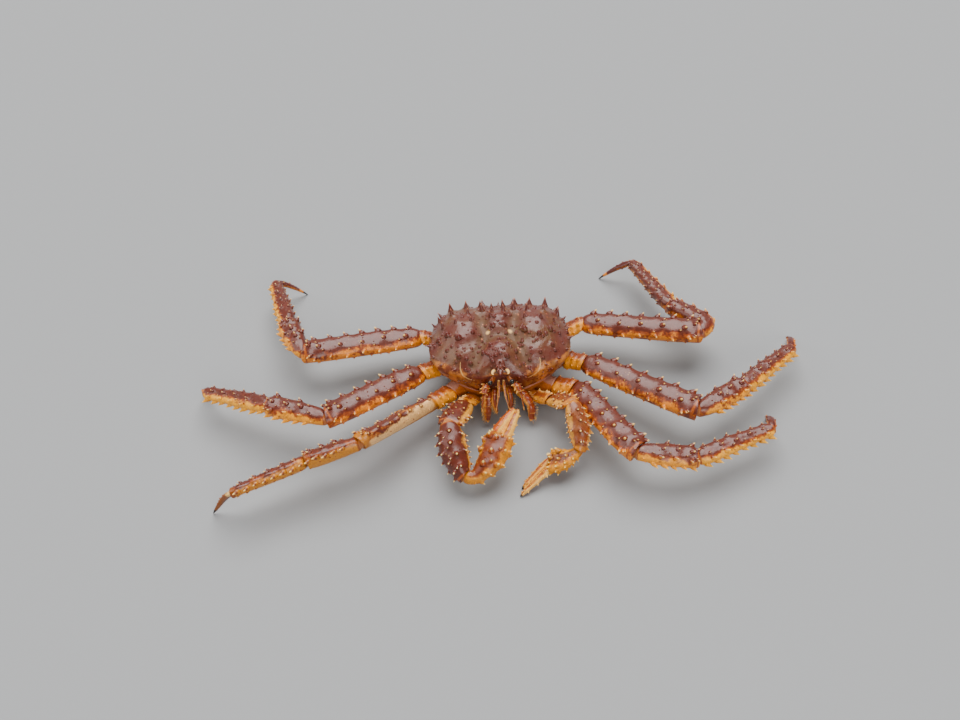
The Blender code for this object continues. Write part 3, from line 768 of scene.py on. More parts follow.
class Graph:
    """A short way to write a node tree."""

    def __init__(self, tree: bpy.types.NodeTree) -> None:
        """Takes the tree."""
        self.tree = tree

    def add(self, kind: str, inputs: dict | None = None, **settings: object) -> bpy.types.Node:
        """Adds a node.

        Args:
            kind: its type.
            inputs: what its inputs are fed with, by name or number.
            **settings: its properties.

        Returns:
            The node.
        """
        node = self.tree.nodes.new(kind)
        for name, value in settings.items():
            setattr(node, name, value)
        for name, value in (inputs or {}).items():
            self.feed(node.inputs[name], value)
        return node

    def out(self, node: bpy.types.Node, name: str | int) -> Value:
        """The value of a node's output."""
        return Value(self, node.outputs[name])

    def feed(self, socket: bpy.types.NodeSocket, value: Feed) -> None:
        """Links a value to an input, or sets the input.

        Args:
            socket: the input.
            value: the value, the colour or the number.
        """
        if isinstance(value, Value):
            self.tree.links.new(value.socket, socket)
        elif isinstance(value, tuple) and socket.type == "RGBA":
            socket.default_value = (*value, 1)
        else:
            socket.default_value = value

    def math(self, operation: str, *values: Feed) -> Value:
        """The result of a Math node."""
        node = self.add("ShaderNodeMath", dict(enumerate(values)), operation=operation)
        return self.out(node, 0)

    def ramp(self, value: Feed, low: Feed, high: Feed) -> Value:
        """The smooth step of a value.

        Args:
            value: the value.
            low: where the step begins.
            high: where it ends; a number under low makes it fall.

        Returns:
            The step, from 0 to 1.
        """
        falling = not isinstance(low, Value) and not isinstance(high, Value) and low >= high
        ends = (high, low, 1.0, 0.0) if falling else (low, high, 0.0, 1.0)
        names = ("Value", "From Min", "From Max", "To Min", "To Max")
        node = self.add("ShaderNodeMapRange", dict(zip(names, (value, *ends))),
                        interpolation_type="SMOOTHSTEP")
        return self.out(node, "Result")

    def blend(self, factor: Feed, a: Feed, b: Feed, blend_type: str = "MIX") -> Value:
        """The colour between a and b."""
        return self.out(self.add("ShaderNodeMix", {0: factor, 6: a, 7: b}, data_type="RGBA",
                                 blend_type=blend_type), 2)

    def layers(self, colour: Feed, *coats: tuple[Feed, Feed]) -> Value:
        """The colour under these coats, each a share and a colour.

        Args:
            colour: the colour underneath.
            *coats: each coat's share and colour.

        Returns:
            The colour on top.
        """
        for share, coat in coats:
            colour = self.blend(share, colour, coat)
        return colour

    def noise(self, vector: Value, scale: float, detail: float = 3.0) -> Value:
        """A noise value with features about one part in scale of a metre across."""
        return self.out(self.add("ShaderNodeTexNoise", {
            "Vector": vector, "Scale": scale, "Detail": detail, "Roughness": 0.55}), "Fac")

    def dots(self, vector: Value, scale: float, low: float, high: float) -> Value:
        """Scattered dots: the smooth step of the distance to the nearest scattered point."""
        node = self.add("ShaderNodeTexVoronoi", {"Vector": vector, "Scale": scale}, feature="F1")
        return self.ramp(self.out(node, "Distance"), low, high)

    def attribute(self, name: str) -> Value:
        """The value of a vertex attribute."""
        return self.out(self.add("ShaderNodeAttribute", attribute_name=name), "Fac")

    def place(self) -> Value:
        """The object's own coordinates."""
        return self.out(self.add("ShaderNodeTexCoord"), "Object")


def new_group(name: str, colours: list[str], numbers: list[str]) -> tuple[Graph, dict, dict]:
    """A shader node group that gives a colour, a roughness and a height.

    Args:
        name: its name.
        colours: the names of its colour inputs.
        numbers: the names of its number inputs.

    Returns:
        The graph, the inputs' values by name and the outputs' sockets by name.
    """
    tree = bpy.data.node_groups.new(name, "ShaderNodeTree")
    for label in colours + numbers:
        kind = "NodeSocketColor" if label in colours else "NodeSocketFloat"
        tree.interface.new_socket(label, in_out="INPUT", socket_type=kind)
    results = {"Color": "NodeSocketColor", "Roughness": "NodeSocketFloat",
               "Height": "NodeSocketFloat"}
    for label, kind in results.items():
        tree.interface.new_socket(label, in_out="OUTPUT", socket_type=kind)
    graph = Graph(tree)
    start, end = graph.add("NodeGroupInput"), graph.add("NodeGroupOutput")
    given = {label: graph.out(start, label) for label in colours + numbers}
    return graph, given, {label: end.inputs[label] for label in results}


LIMB_COLOURS = ["Back", "Blush", "Band", "Belly", "Edging", "Ring", "Membrane", "Thorn", "Root",
                "Horn"]
LIMB_NUMBERS = ["Band Low", "Band High", "Belly Low", "Belly High", "Hem", "Ring Width",
                "Amber From", "Horn From"]
DOME_COLOURS = ["Dome", "Olive", "Wall", "Pale", "Thorn", "Root", "Valley"]


class Groups:
    """The effects that several finishes share."""

    @staticmethod
    def get(name: str) -> bpy.types.NodeTree:
        """The group of this name, built at its first use.

        Args:
            name: the group's name.

        Returns:
            The group.
        """
        if name not in bpy.data.node_groups:
            getattr(Groups, name)()
        return bpy.data.node_groups[name]

    @staticmethod
    def limb_pattern() -> None:
        """The colours round a limb: dark back, bright edges, pale underside, rings and thorns."""
        graph, given, out = new_group("limb_pattern", LIMB_COLOURS, LIMB_NUMBERS)
        place = graph.place()
        wide, fine = graph.noise(place, 48) - 0.5, graph.noise(place, 230, 4) - 0.5
        wander = wide * 0.9 + fine * 0.6
        side, along, tip = (graph.attribute(name) for name in ("edge", "along", "tip"))
        edge = side + wander
        under = wander - graph.attribute("up")
        hem = wander * 0.6 - side
        low, high = given["Band Low"], given["Band High"]
        middle, width = (low + high) * 0.5, given["Ring Width"]
        near = graph.math("MINIMUM", graph.math("ABSOLUTE", 1.0 - along),
                          graph.math("ABSOLUTE", along)) + wander * width
        back = graph.layers(given["Back"], (0.5, given["Root"]))
        colour = graph.layers(
            graph.blend(graph.ramp(graph.noise(place, 95), 0.38, 0.7), given["Back"], back),
            (graph.ramp(edge, low, middle), given["Blush"]),
            (graph.ramp(edge, middle, high), given["Band"]),
            (graph.ramp(under, given["Belly Low"], given["Belly High"]), given["Belly"]),
            (graph.ramp(hem, given["Hem"], given["Hem"] + 0.25), given["Edging"]),
            (graph.ramp(near, width, width * 0.4), given["Ring"]),
            (graph.ramp(along, 0.002, -0.012), given["Membrane"]),
            (graph.dots(place, 210, 0.3, 0.14) * graph.ramp(wide, 0.0, 0.16) * 0.3,
             given["Thorn"]),
        )
        dark = graph.blend(1.0, colour, (0.45, 0.3, 0.25), "MULTIPLY")
        root = graph.blend(graph.ramp(edge, low, high), given["Root"], given["Band"])
        ahead = along + fine * 0.08
        colour = graph.layers(
            colour,
            (graph.ramp(graph.noise(place, 420, 2), 0.6, 0.42) * 0.3, dark),
            (graph.ramp(tip, 0.02, 0.2) * 0.8, root),
            (graph.ramp(tip, 0.4, 0.8), given["Thorn"]),
            (graph.ramp(ahead, given["Amber From"], given["Amber From"] + 0.08), given["Band"]),
            (graph.ramp(ahead, given["Horn From"], given["Horn From"] + 0.06), given["Horn"]),
        )
        graph.feed(out["Color"], colour)
        dull = graph.math("MAXIMUM", graph.ramp(edge, low, high), graph.ramp(under, 0.1, 0.6))
        graph.feed(out["Roughness"], 0.33 + fine * 0.3 + dull * 0.14)
        graph.feed(out["Height"],
                   graph.dots(place, 330, 0.4, 0.1) * 0.5 + graph.noise(place, 700) * 0.6)

    @staticmethod
    def dome_pattern() -> None:
        """The colours of the back shell: maroon dome, ochre walls, pale marks and thorns."""
        graph, given, out = new_group("dome_pattern", DOME_COLOURS, [])
        place = graph.place()
        wide, fine = graph.noise(place, 30) - 0.5, graph.noise(place, 210, 4) - 0.5
        wall = graph.attribute("wall") + fine * 0.5 + wide * 1.2
        groove, tip = graph.ramp(graph.attribute("groove"), 0.15, 0.9), graph.attribute("tip")
        wall_colour = graph.layers(
            given["Wall"],
            (graph.ramp(graph.noise(place, 40, 2), 0.4, 0.6),
             graph.blend(0.6, given["Wall"], given["Valley"])),
            (graph.ramp(graph.noise(place, 75, 4), 0.48, 0.6) * 0.85, given["Root"]),
        )
        spots = (graph.dots(place, 190, 0.3, 0.14)
                 * graph.ramp(graph.noise(place, 60, 2), 0.48, 0.62))
        colour = graph.layers(
            given["Dome"],
            (graph.ramp(wide, -0.12, 0.14), given["Olive"]),
            (graph.ramp(graph.noise(place, 120, 4), 0.42, 0.66) * 0.6, given["Root"]),
            (graph.ramp(wall, 0.3, 0.75), wall_colour),
            (groove * 0.65, given["Valley"]),
            (graph.ramp(graph.attribute("mouth"), 0.2, 0.8) * 0.9, given["Root"]),
            (spots * (0.35 + groove * 0.5), given["Thorn"]),
            (graph.ramp(graph.attribute("pale"), 0.3, 0.8), given["Pale"]),
            (graph.ramp(tip, 0.02, 0.25) * 0.8, given["Root"]),
            (graph.ramp(tip, 0.6, 1.0), given["Thorn"]),
        )
        graph.feed(out["Color"], colour)
        graph.feed(out["Roughness"], 0.33 + fine * 0.4 + groove * 0.3)
        graph.feed(out["Height"],
                   graph.dots(place, 260, 0.4, 0.1) * 0.6 + graph.noise(place, 520) * 0.7)


def new_material(name: str) -> tuple[bpy.types.Material, Graph, bpy.types.Node]:
    """A new material, with its graph and its shader.

    Args:
        name: its name.

    Returns:
        The material, the graph and the shader's node.
    """
    material = bpy.data.materials.new(name)
    material.use_nodes = True
    return material, Graph(material.node_tree), material.node_tree.nodes["Principled BSDF"]


@dataclass(frozen=True)
class WetFinish:
    """A wet, glossy finish whose colours come from one of the shared groups."""

    name: str
    group: str
    values: tuple
    bump: float = 0.28
    coat: float = 0.5
    gloss: float = 0.5

    def material(self) -> bpy.types.Material:
        """The finish's material.

        Returns:
            The material, built at its first use.
        """
        if self.name in bpy.data.materials:
            return bpy.data.materials[self.name]
        material, graph, shader = new_material(self.name)
        pattern = graph.add("ShaderNodeGroup", node_tree=Groups.get(self.group))
        for label, value in self.values:
            graph.feed(pattern.inputs[label], value)
        graph.feed(shader.inputs["Base Color"], graph.out(pattern, "Color"))
        graph.feed(shader.inputs["Roughness"], graph.out(pattern, "Roughness"))
        relief = graph.add("ShaderNodeBump", {"Height": graph.out(pattern, "Height"),
                                              "Strength": self.bump, "Distance": 0.0005})
        graph.feed(shader.inputs["Normal"], graph.out(relief, "Normal"))
        shader.inputs["Coat Weight"].default_value = self.coat
        shader.inputs["Coat Roughness"].default_value = 0.16
        shader.inputs["Specular IOR Level"].default_value = self.gloss
        return material


MAROON = (0.12, 0.02, 0.008)
ORANGE = (0.76, 0.22, 0.0)
YELLOW = (0.92, 0.34, 0.0)
CREAM = (0.85, 0.45, 0.11)
RED = (0.17, 0.018, 0.003)

DOME = WetFinish("wet_dome", "dome_pattern", (
    ("Dome", (0.135, 0.033, 0.02)), ("Olive", (0.15, 0.062, 0.023)), ("Wall", (0.6, 0.195, 0.03)),
    ("Pale", (0.9, 0.52, 0.17)), ("Thorn", (0.66, 0.22, 0.1)), ("Root", (0.115, 0.01, 0.004)),
    ("Valley", (0.11, 0.048, 0.011)),
), bump=0.5, coat=0.1)


def limb_finish(name: str, gloss: float = 0.5, **changes: Colour | float) -> WetFinish:
    """A limb's finish: the usual colours with these changes.

    Args:
        name: the finish's name.
        gloss: how strongly it shines.
        **changes: the values that differ, with _ for a space.

    Returns:
        The finish.
    """
    values = {
        "Back": MAROON, "Blush": (0.32, 0.055, 0.002), "Band": ORANGE, "Belly": CREAM,
        "Edging": ORANGE, "Ring": (0.42, 0.09, 0.006), "Membrane": (0.5, 0.18, 0.05),
        "Thorn": (1.0, 0.62, 0.18), "Root": RED, "Horn": (0.012, 0.007, 0.006), "Band Low": 0.72,
        "Band High": 1.0, "Belly Low": 0.6, "Belly High": 0.9, "Hem": 0.88, "Ring Width": 0.012,
        "Amber From": 5.0, "Horn From": 5.0,
    }
    values.update({label.replace("_", " "): value for label, value in changes.items()})
    return WetFinish(name, "limb_pattern", tuple(values.items()), coat=0.3 * gloss, gloss=gloss)


MERUS = limb_finish("wet_merus", Band=(0.86, 0.25, 0.0))
CARPUS = limb_finish("wet_carpus", Band_Low=0.6, Band_High=0.95, Band=(1.0, 0.37, 0.0),
                     Ring_Width=0.02)
PROPODUS = limb_finish("wet_propodus", Band_Low=0.5, Band_High=0.9, Band=(1.0, 0.42, 0.001))
HIP = limb_finish("wet_hip", Back=(0.26, 0.046, 0.002), Blush=(0.55, 0.13, 0.001), Band=YELLOW,
                  Root=(0.24, 0.035, 0.004), Ring=(0.75, 0.3, 0.03), Ring_Width=0.02,
                  Band_Low=0.1, Band_High=0.6, Belly=(0.7, 0.25, 0.004))
FOOT = limb_finish("wet_foot", Back=(0.1, 0.01, 0.004), Band_Low=0.5, Band_High=0.95,
                   Amber_From=0.66, Horn_From=0.8, Ring=(0.55, 0.28, 0.08), Ring_Width=0.02,
                   Thorn=(0.55, 0.2, 0.04), Root=(0.11, 0.012, 0.004))
TURNED_MERUS = limb_finish("wet_merus_turned", Band=YELLOW, Belly=(0.95, 0.54, 0.2),
                           Blush=(0.4, 0.1, 0.004), Band_Low=0.97, Band_High=1.35,
                           Belly_Low=0.2, Belly_High=0.4, Edging=(0.6, 0.2, 0.001), Hem=-0.1,
                           Ring=(0.55, 0.18, 0.001), Ring_Width=0.1)
TURNED_CARPUS = limb_finish("wet_carpus_turned", Band=(0.66, 0.235, 0.0),
                            Belly=(0.66, 0.235, 0.0), Band_Low=0.9, Band_High=1.2,
                            Belly_Low=0.0, Belly_High=0.4, Edging=(0.85, 0.38, 0.03), Hem=0.3,
                            Ring=(0.3, 0.07, 0.001), Ring_Width=0.05)
TURNED_FOOT = limb_finish("wet_foot_turned", 0.3, Back=(0.1, 0.02, 0.001), Band=(0.3, 0.08, 0.001),
                          Band_Low=0.2, Band_High=0.8, Belly=(0.3, 0.08, 0.001), Horn_From=0.8,
                          Membrane=(0.9, 0.6, 0.26), Ring=(0.8, 0.5, 0.16), Ring_Width=0.12,
                          Thorn=(0.7, 0.32, 0.07))
UNDERSIDE = limb_finish("wet_underside", Back=(0.5, 0.14, 0.006), Band=(0.4, 0.18, 0.06),
                        Membrane=(0.5, 0.32, 0.26), Ring_Width=0.001, Edging=(0.48, 0.22, 0.15),
                        Hem=0.4)
FLAP = limb_finish("wet_flap", Back=(0.19, 0.032, 0.006), Blush=(0.36, 0.075, 0.003),
                   Band=(0.6, 0.22, 0.03), Belly=(0.7, 0.34, 0.08), Belly_Low=0.2,
                   Root=(0.2, 0.026, 0.005), Band_Low=0.15, Band_High=0.75, Ring_Width=0.001)
MOUTH = limb_finish("wet_mouth", Back=(0.3, 0.042, 0.002), Blush=(0.5, 0.12, 0.004),
                    Band=(0.85, 0.36, 0.05), Belly=(0.6, 0.19, 0.01), Ring=(0.2, 0.026, 0.002),
                    Membrane=(1.0, 0.6, 0.2), Ring_Width=0.05, Band_Low=0.35, Band_High=0.9,
                    Amber_From=0.76)
STALK = limb_finish("wet_stalk", Back=(0.34, 0.08, 0.01), Blush=(0.45, 0.14, 0.02),
                    Band=(0.7, 0.34, 0.1), Belly=(0.7, 0.3, 0.08), Ring_Width=0.03)
CLAW_UPPER = limb_finish("wet_claw_upper", Edging=(0.8, 0.36, 0.04), Hem=0.7, Band_Low=1.1,
                         Band_High=1.6, Thorn=(1.0, 0.7, 0.24), Ring=(0.4, 0.08, 0.004),
                         Ring_Width=0.03)
OCHRE_CLAW = limb_finish("wet_claw_ochre", Back=(0.28, 0.075, 0.014), Edging=(0.8, 0.36, 0.05),
                         Band=(0.75, 0.33, 0.05), Hem=0.5, Band_Low=0.6, Band_High=1.0,
                         Thorn=(1.0, 0.7, 0.24), Ring=(0.6, 0.19, 0.001), Ring_Width=0.08)
CLAW_HIP = limb_finish("wet_claw_hip", Back=(0.3, 0.06, 0.005), Blush=(0.55, 0.17, 0.01),
                       Band=(0.95, 0.52, 0.15), Belly=(0.95, 0.5, 0.14), Band_Low=0.1,
                       Band_High=0.7, Edging=(0.75, 0.28, 0.01), Hem=0.5, Belly_Low=-0.1,
                       Belly_High=0.5, Ring=(0.7, 0.24, 0.004), Ring_Width=0.08,
                       Root=(0.24, 0.035, 0.004))
PALM = limb_finish("wet_palm", 0.4, Back=(0.16, 0.026, 0.004), Blush=(0.32, 0.07, 0.001),
                   Band=(0.7, 0.25, 0.0), Belly=(1.0, 0.56, 0.06), Thorn=(1.0, 0.7, 0.2),
                   Edging=(0.82, 0.33, 0.0), Root=(0.34, 0.06, 0.001), Band_Low=0.45,
                   Band_High=0.85, Hem=0.75, Ring=(0.56, 0.19, 0.002), Ring_Width=0.08)
YELLOW_PALM = limb_finish("wet_palm_yellow", 0.3, Back=(0.13, 0.022, 0.002),
                          Blush=(0.34, 0.07, 0.0), Band=(0.66, 0.24, 0.0),
                          Belly=(0.36, 0.06, 0.001), Edging=(0.74, 0.29, 0.0),
                          Thorn=(1.0, 0.7, 0.2), Root=(0.5, 0.17, 0.002), Band_Low=0.4,
                          Band_High=0.8, Hem=0.6, Ring=(0.5, 0.165, 0.001), Ring_Width=0.1)
CREAM_FINGER = limb_finish("wet_finger_cream", 0.4, Back=(0.34, 0.06, 0.003),
                           Blush=(0.66, 0.22, 0.004), Band=(0.95, 0.5, 0.09),
                           Belly=(0.5, 0.1, 0.001), Band_Low=0.1, Band_High=0.5,
                           Edging=(0.85, 0.4, 0.05), Hem=0.4, Horn_From=0.92,
                           Root=(0.7, 0.27, 0.01), Belly_Low=0.3, Belly_High=0.5)
RED_FINGER = limb_finish("wet_finger_red", 0.4, Back=(0.46, 0.06, 0.001),
                         Blush=(0.75, 0.22, 0.003), Band=(1.0, 0.56, 0.12),
                         Edging=(0.4, 0.05, 0.001), Band_Low=0.1, Band_High=0.7, Hem=0.7,
                         Horn_From=0.94, Root=(0.65, 0.2, 0.004))


@dataclass(frozen=True)
class GlossFinish:
    """A plain polished finish with faint unevenness."""

    name: str
    colour: Colour
    roughness: float
    scale: float = 900.0
    depth: float = 0.94

    def material(self) -> bpy.types.Material:
        """The finish's material.

        Returns:
            The material, built at its first use.
        """
        if self.name in bpy.data.materials:
            return bpy.data.materials[self.name]
        material, graph, shader = new_material(self.name)
        darker = tuple(self.depth * c for c in self.colour)
        graph.feed(shader.inputs["Base Color"],
                   graph.blend(graph.noise(graph.place(), self.scale, 2), self.colour, darker))
        shader.inputs["Roughness"].default_value = self.roughness
        return material


CORNEA = GlossFinish("cornea_black", (0.012, 0.008, 0.006), 0.14)
FLOOR = GlossFinish("pale_floor", (0.308, 0.315, 0.325), 0.8, 60.0, 0.985)


@dataclass
class Spikes:
    """A row of thorns along a plate: shares, count, angle from the outer edge and size."""

    first: float
    last: float
    count: int
    angle: float
    height: float
    lean: float = 0.45
    kind: ThornKind = ThornKind.SPINE
    wave: float = 5.0
    girth: float = 0.5


@dataclass
class Plate:
    """One dressed limb segment."""

    name: str
    run: Run
    curl: int
    finish: WetFinish
    slot: Slot
    rows: list[Spikes] = field(default_factory=list)
    ridges: list[tuple[float, float, float]] = field(default_factory=list)
    grains: int = 40
    sides: int = 16
    neck: float = 5.0
    collar: float = 1.05
    pointed: bool = False
    spacing: float = 7.0
    levels: int = 2
    turn: float = 0.0
    twist: float = 0.0
    cuts: tuple = (0.0, 1.0)

    def table(self) -> Table:
        """The rings' sizes from the neck, over the plate, to the turned-in collar.

        Returns:
            Rows of share of the length, half width and half thickness.
        """
        run, length = self.run, self.run.length
        places = [(-self.neck / length, 0.0, 0.6), (-0.35 * self.neck / length, 0.0, 0.72),
                  (0.3 / length, 0.0, 0.8)]
        count = max(4, round(length / self.spacing))
        last = 1.0 if self.pointed else 1 - 6.0 / length
        evenly = [mix(3.5 / length, last, k / count) for k in range(count + 1)]
        places += [(t, t, 1.0) for t in evenly]
        if not self.pointed:
            places += [(1 - back / length, 1.0, factor) for back, factor in (
                (3.6, self.collar), (1.2, self.collar), (0.2, 0.97), (0.6, 0.84), (3.0, 0.78))]
        sizes = [profile(run.widths, at) for _, at, _ in places]
        return [(t, factor * w, factor * h) for (t, _, factor), (w, h) in zip(places, sizes)]

    def angle(self, angle: float) -> float:
        """The angle from the run's side, for one measured from the plate's outer edge."""
        return angle if self.curl < 0 else 180 - angle

    def seats(self) -> list[Seat]:
        """The seats of the plate's thorns.

        Returns:
            Those of its rows first, then those of its scattered knobs.
        """
        found = []
        for row in self.rows:
            for k in range(row.count):
                t = mix(row.first, row.last, k / max(1, row.count - 1))
                turned = self.angle(row.angle)
                swerve = row.wave * math.sin(2.37 * k + turned)
                size = row.height * (1.0 + 0.16 * math.sin(5.1 * k + 0.7 * turned))
                place = self.run.surface(t, turned + swerve)
                found.append(Seat(row.kind, *place, row.girth * size, size, row.lean))
        dice = random.Random(self.name)
        for _ in range(self.grains):
            t, angle = dice.uniform(0.08, 0.97), dice.uniform(-40, 220)
            size = dice.uniform(0.7, 1.5)
            found.append(Seat(ThornKind.KNOB, *self.run.surface(t, angle), 0.75 * size, size, 0.3))
        return found

    def swell(self, obj: Piece, seats: list[Seat]) -> None:
        """Raises the plate's ridges and the swollen root of each thorn.

        Args:
            obj: the plate.
            seats: the seats of its thorns.
        """
        points = Bench.points(obj)
        along, angle = self.run.measure(points)
        if self.curl > 0:
            angle = np.pi - angle
        amounts = swelling(points, seats, 2, PLATE_SWELL)
        inside = smooth(along / 0.12) * smooth((1.0 - along) / 0.08)
        for middle, spread, height in self.ridges:
            away = (np.degrees(angle) - middle + 180) % 360 - 180
            amounts += height * inside * np.exp(-((away / spread) ** 2))
        Bench.push(obj, amounts * MM, "NORMAL")

    def model(self) -> Piece:
        """Models the plate with its thorns, marked for its finish.

        Returns:
            The plate.
        """
        rings = [self.run.station(*row) for row in self.table()]
        obj = loft(f"{self.name}_shell", rings, self.sides)
        Bench.subdivide(obj, self.levels)
        seats = self.seats()
        self.swell(obj, seats)
        Bench.lumps(obj, 7, 0.6)
        Bench.join(obj, Thorns.plant(obj, seats))
        along, angle = self.run.measure(Bench.points(obj))
        angle = angle if self.curl < 0 else np.pi - angle
        angle += np.radians(self.turn + self.twist * along)
        for a, b in zip(self.cuts, self.cuts[1:]):
            inside = (along >= a) & (along < b)
            along[inside] = (along[inside] - a) / (b - a)
        Bench.marks(obj, along=along, up=np.sin(angle), edge=np.cos(angle),
                    tip=Bench.read(obj, "tip"))
        obj.data.materials.append(self.finish.material())
        return obj

    def build(self, extras: list | None = None) -> Piece:
        """Builds and dresses the plate.

        Args:
            extras: other dressed objects that become part of it.

        Returns:
            The finished piece.
        """
        obj = self.model()
        Bench.join(obj, extras or [])
        Bench.finish(obj, self.finish.material(), self.slot, self.name)
        return obj


HIP_WIDTHS = [
    (0, 12, 11.5), (0.12, 13.8, 12.4), (0.3, 13.6, 12.2), (0.4, 12, 11), (0.5, 13.2, 12.2),
    (0.66, 12.2, 11.2), (0.85, 13.8, 12.7), (1, 12, 11.5),
]
MERUS_WIDTHS = [
    (0, 11.5, 11), (0.04, 14, 13), (0.1, 15.2, 14.2), (0.3, 16.8, 15), (0.7, 17.4, 15.4),
    (0.88, 17.4, 15.4), (0.95, 16.4, 14.6), (1, 15.2, 13.6),
]
CARPUS_WIDTHS = [
    (0, 11, 10), (0.3, 12.5, 11.5), (0.7, 14, 12.5), (0.92, 13.5, 12), (1, 11.8, 10.8),
]
PROPODUS_WIDTHS = [
    (0, 9.5, 9), (0.1, 11.3, 10.3), (0.45, 10.8, 9.6), (0.8, 8.8, 8), (0.95, 8.6, 7.8),
    (1, 7.2, 6.8),
]
DACTYLUS_WIDTHS = [
    (0, 5.5, 5.2), (0.12, 6.2, 5.8), (0.5, 4.8, 4.4), (0.8, 2.8, 2.6), (0.93, 1.7, 1.6),
    (1, 0.5, 0.5),
]

MERUS_ROWS = [
    Spikes(0.1, 0.93, 7, 12, 4.4, girth=0.62), Spikes(0.15, 0.89, 5, 71, 4.0, girth=0.8),
    Spikes(0.1, 0.92, 7, 138, 5.6, girth=0.66), Spikes(0.2, 0.85, 4, 44, 2.2, wave=9, girth=0.8),
    Spikes(0.12, 0.9, 5, 106, 2.4, wave=9, girth=0.8), Spikes(0.15, 0.9, 6, -22, 2.4),
    Spikes(0.96, 0.97, 2, 25, 4.2, 0.7), Spikes(0.965, 0.97, 2, 88, 4.6, 0.7, wave=18),
    Spikes(0.15, 0.9, 6, 175, 2.6), Spikes(0.962, 0.97, 2, 145, 4.2, 0.7, wave=14),
]
CARPUS_ROWS = [
    Spikes(0.3, 0.94, 5, -6, 6.4, 0.7, girth=0.45),
    Spikes(0.38, 0.88, 3, 38, 4.4, 0.7, girth=0.55), Spikes(0.42, 0.9, 3, 88, 4.2, 0.6, girth=0.6),
    Spikes(0.5, 0.9, 2, 140, 4.6, girth=0.6), Spikes(0.25, 0.8, 3, 62, 2.4),
    Spikes(0.3, 0.85, 4, 115, 2.6), Spikes(0.35, 0.9, 3, 175, 3.0),
    Spikes(0.955, 0.97, 3, 60, 3.6, 0.8, wave=40),
]
PROPODUS_ROWS = [
    Spikes(0.08, 0.94, 8, -14, 6.4, 0.8, girth=0.42), Spikes(0.14, 0.88, 5, 30, 4.0, 0.8),
    Spikes(0.3, 0.86, 4, 84, 3.2, 0.7), Spikes(0.14, 0.92, 6, 158, 3.8),
    Spikes(0.12, 0.9, 6, 58, 2.2, 0.7), Spikes(0.12, 0.9, 6, 122, 2.4, 0.7),
    Spikes(0.1, 0.94, 8, -48, 3.0, 0.7), Spikes(0.15, 0.95, 6, 200, 2.4, 0.6),
]
FOOT_ROWS = [
    Spikes(0.06, 0.4, 3, 30, 1.8, 0.8), Spikes(0.08, 0.35, 2, 90, 1.4, 0.8),
    Spikes(0.06, 0.4, 3, 150, 1.8, 0.8),
]
HIP_ROWS = [
    Spikes(0.55, 0.85, 2, 60, 4.0, girth=0.6), Spikes(0.25, 0.85, 3, 20, 2.4),
    Spikes(0.3, 0.9, 2, 120, 2.6, girth=0.6),
]
GROOVE_DOTS = Spikes(0.28, 0.8, 30, 13, 0.6, 0.0, ThornKind.KNOB, 1.5, 0.8)
LIMB_RIDGES = [(12, 16, 0.9), (138, 18, 0.8), (75, 24, -0.9), (-80, 45, -1.1)]


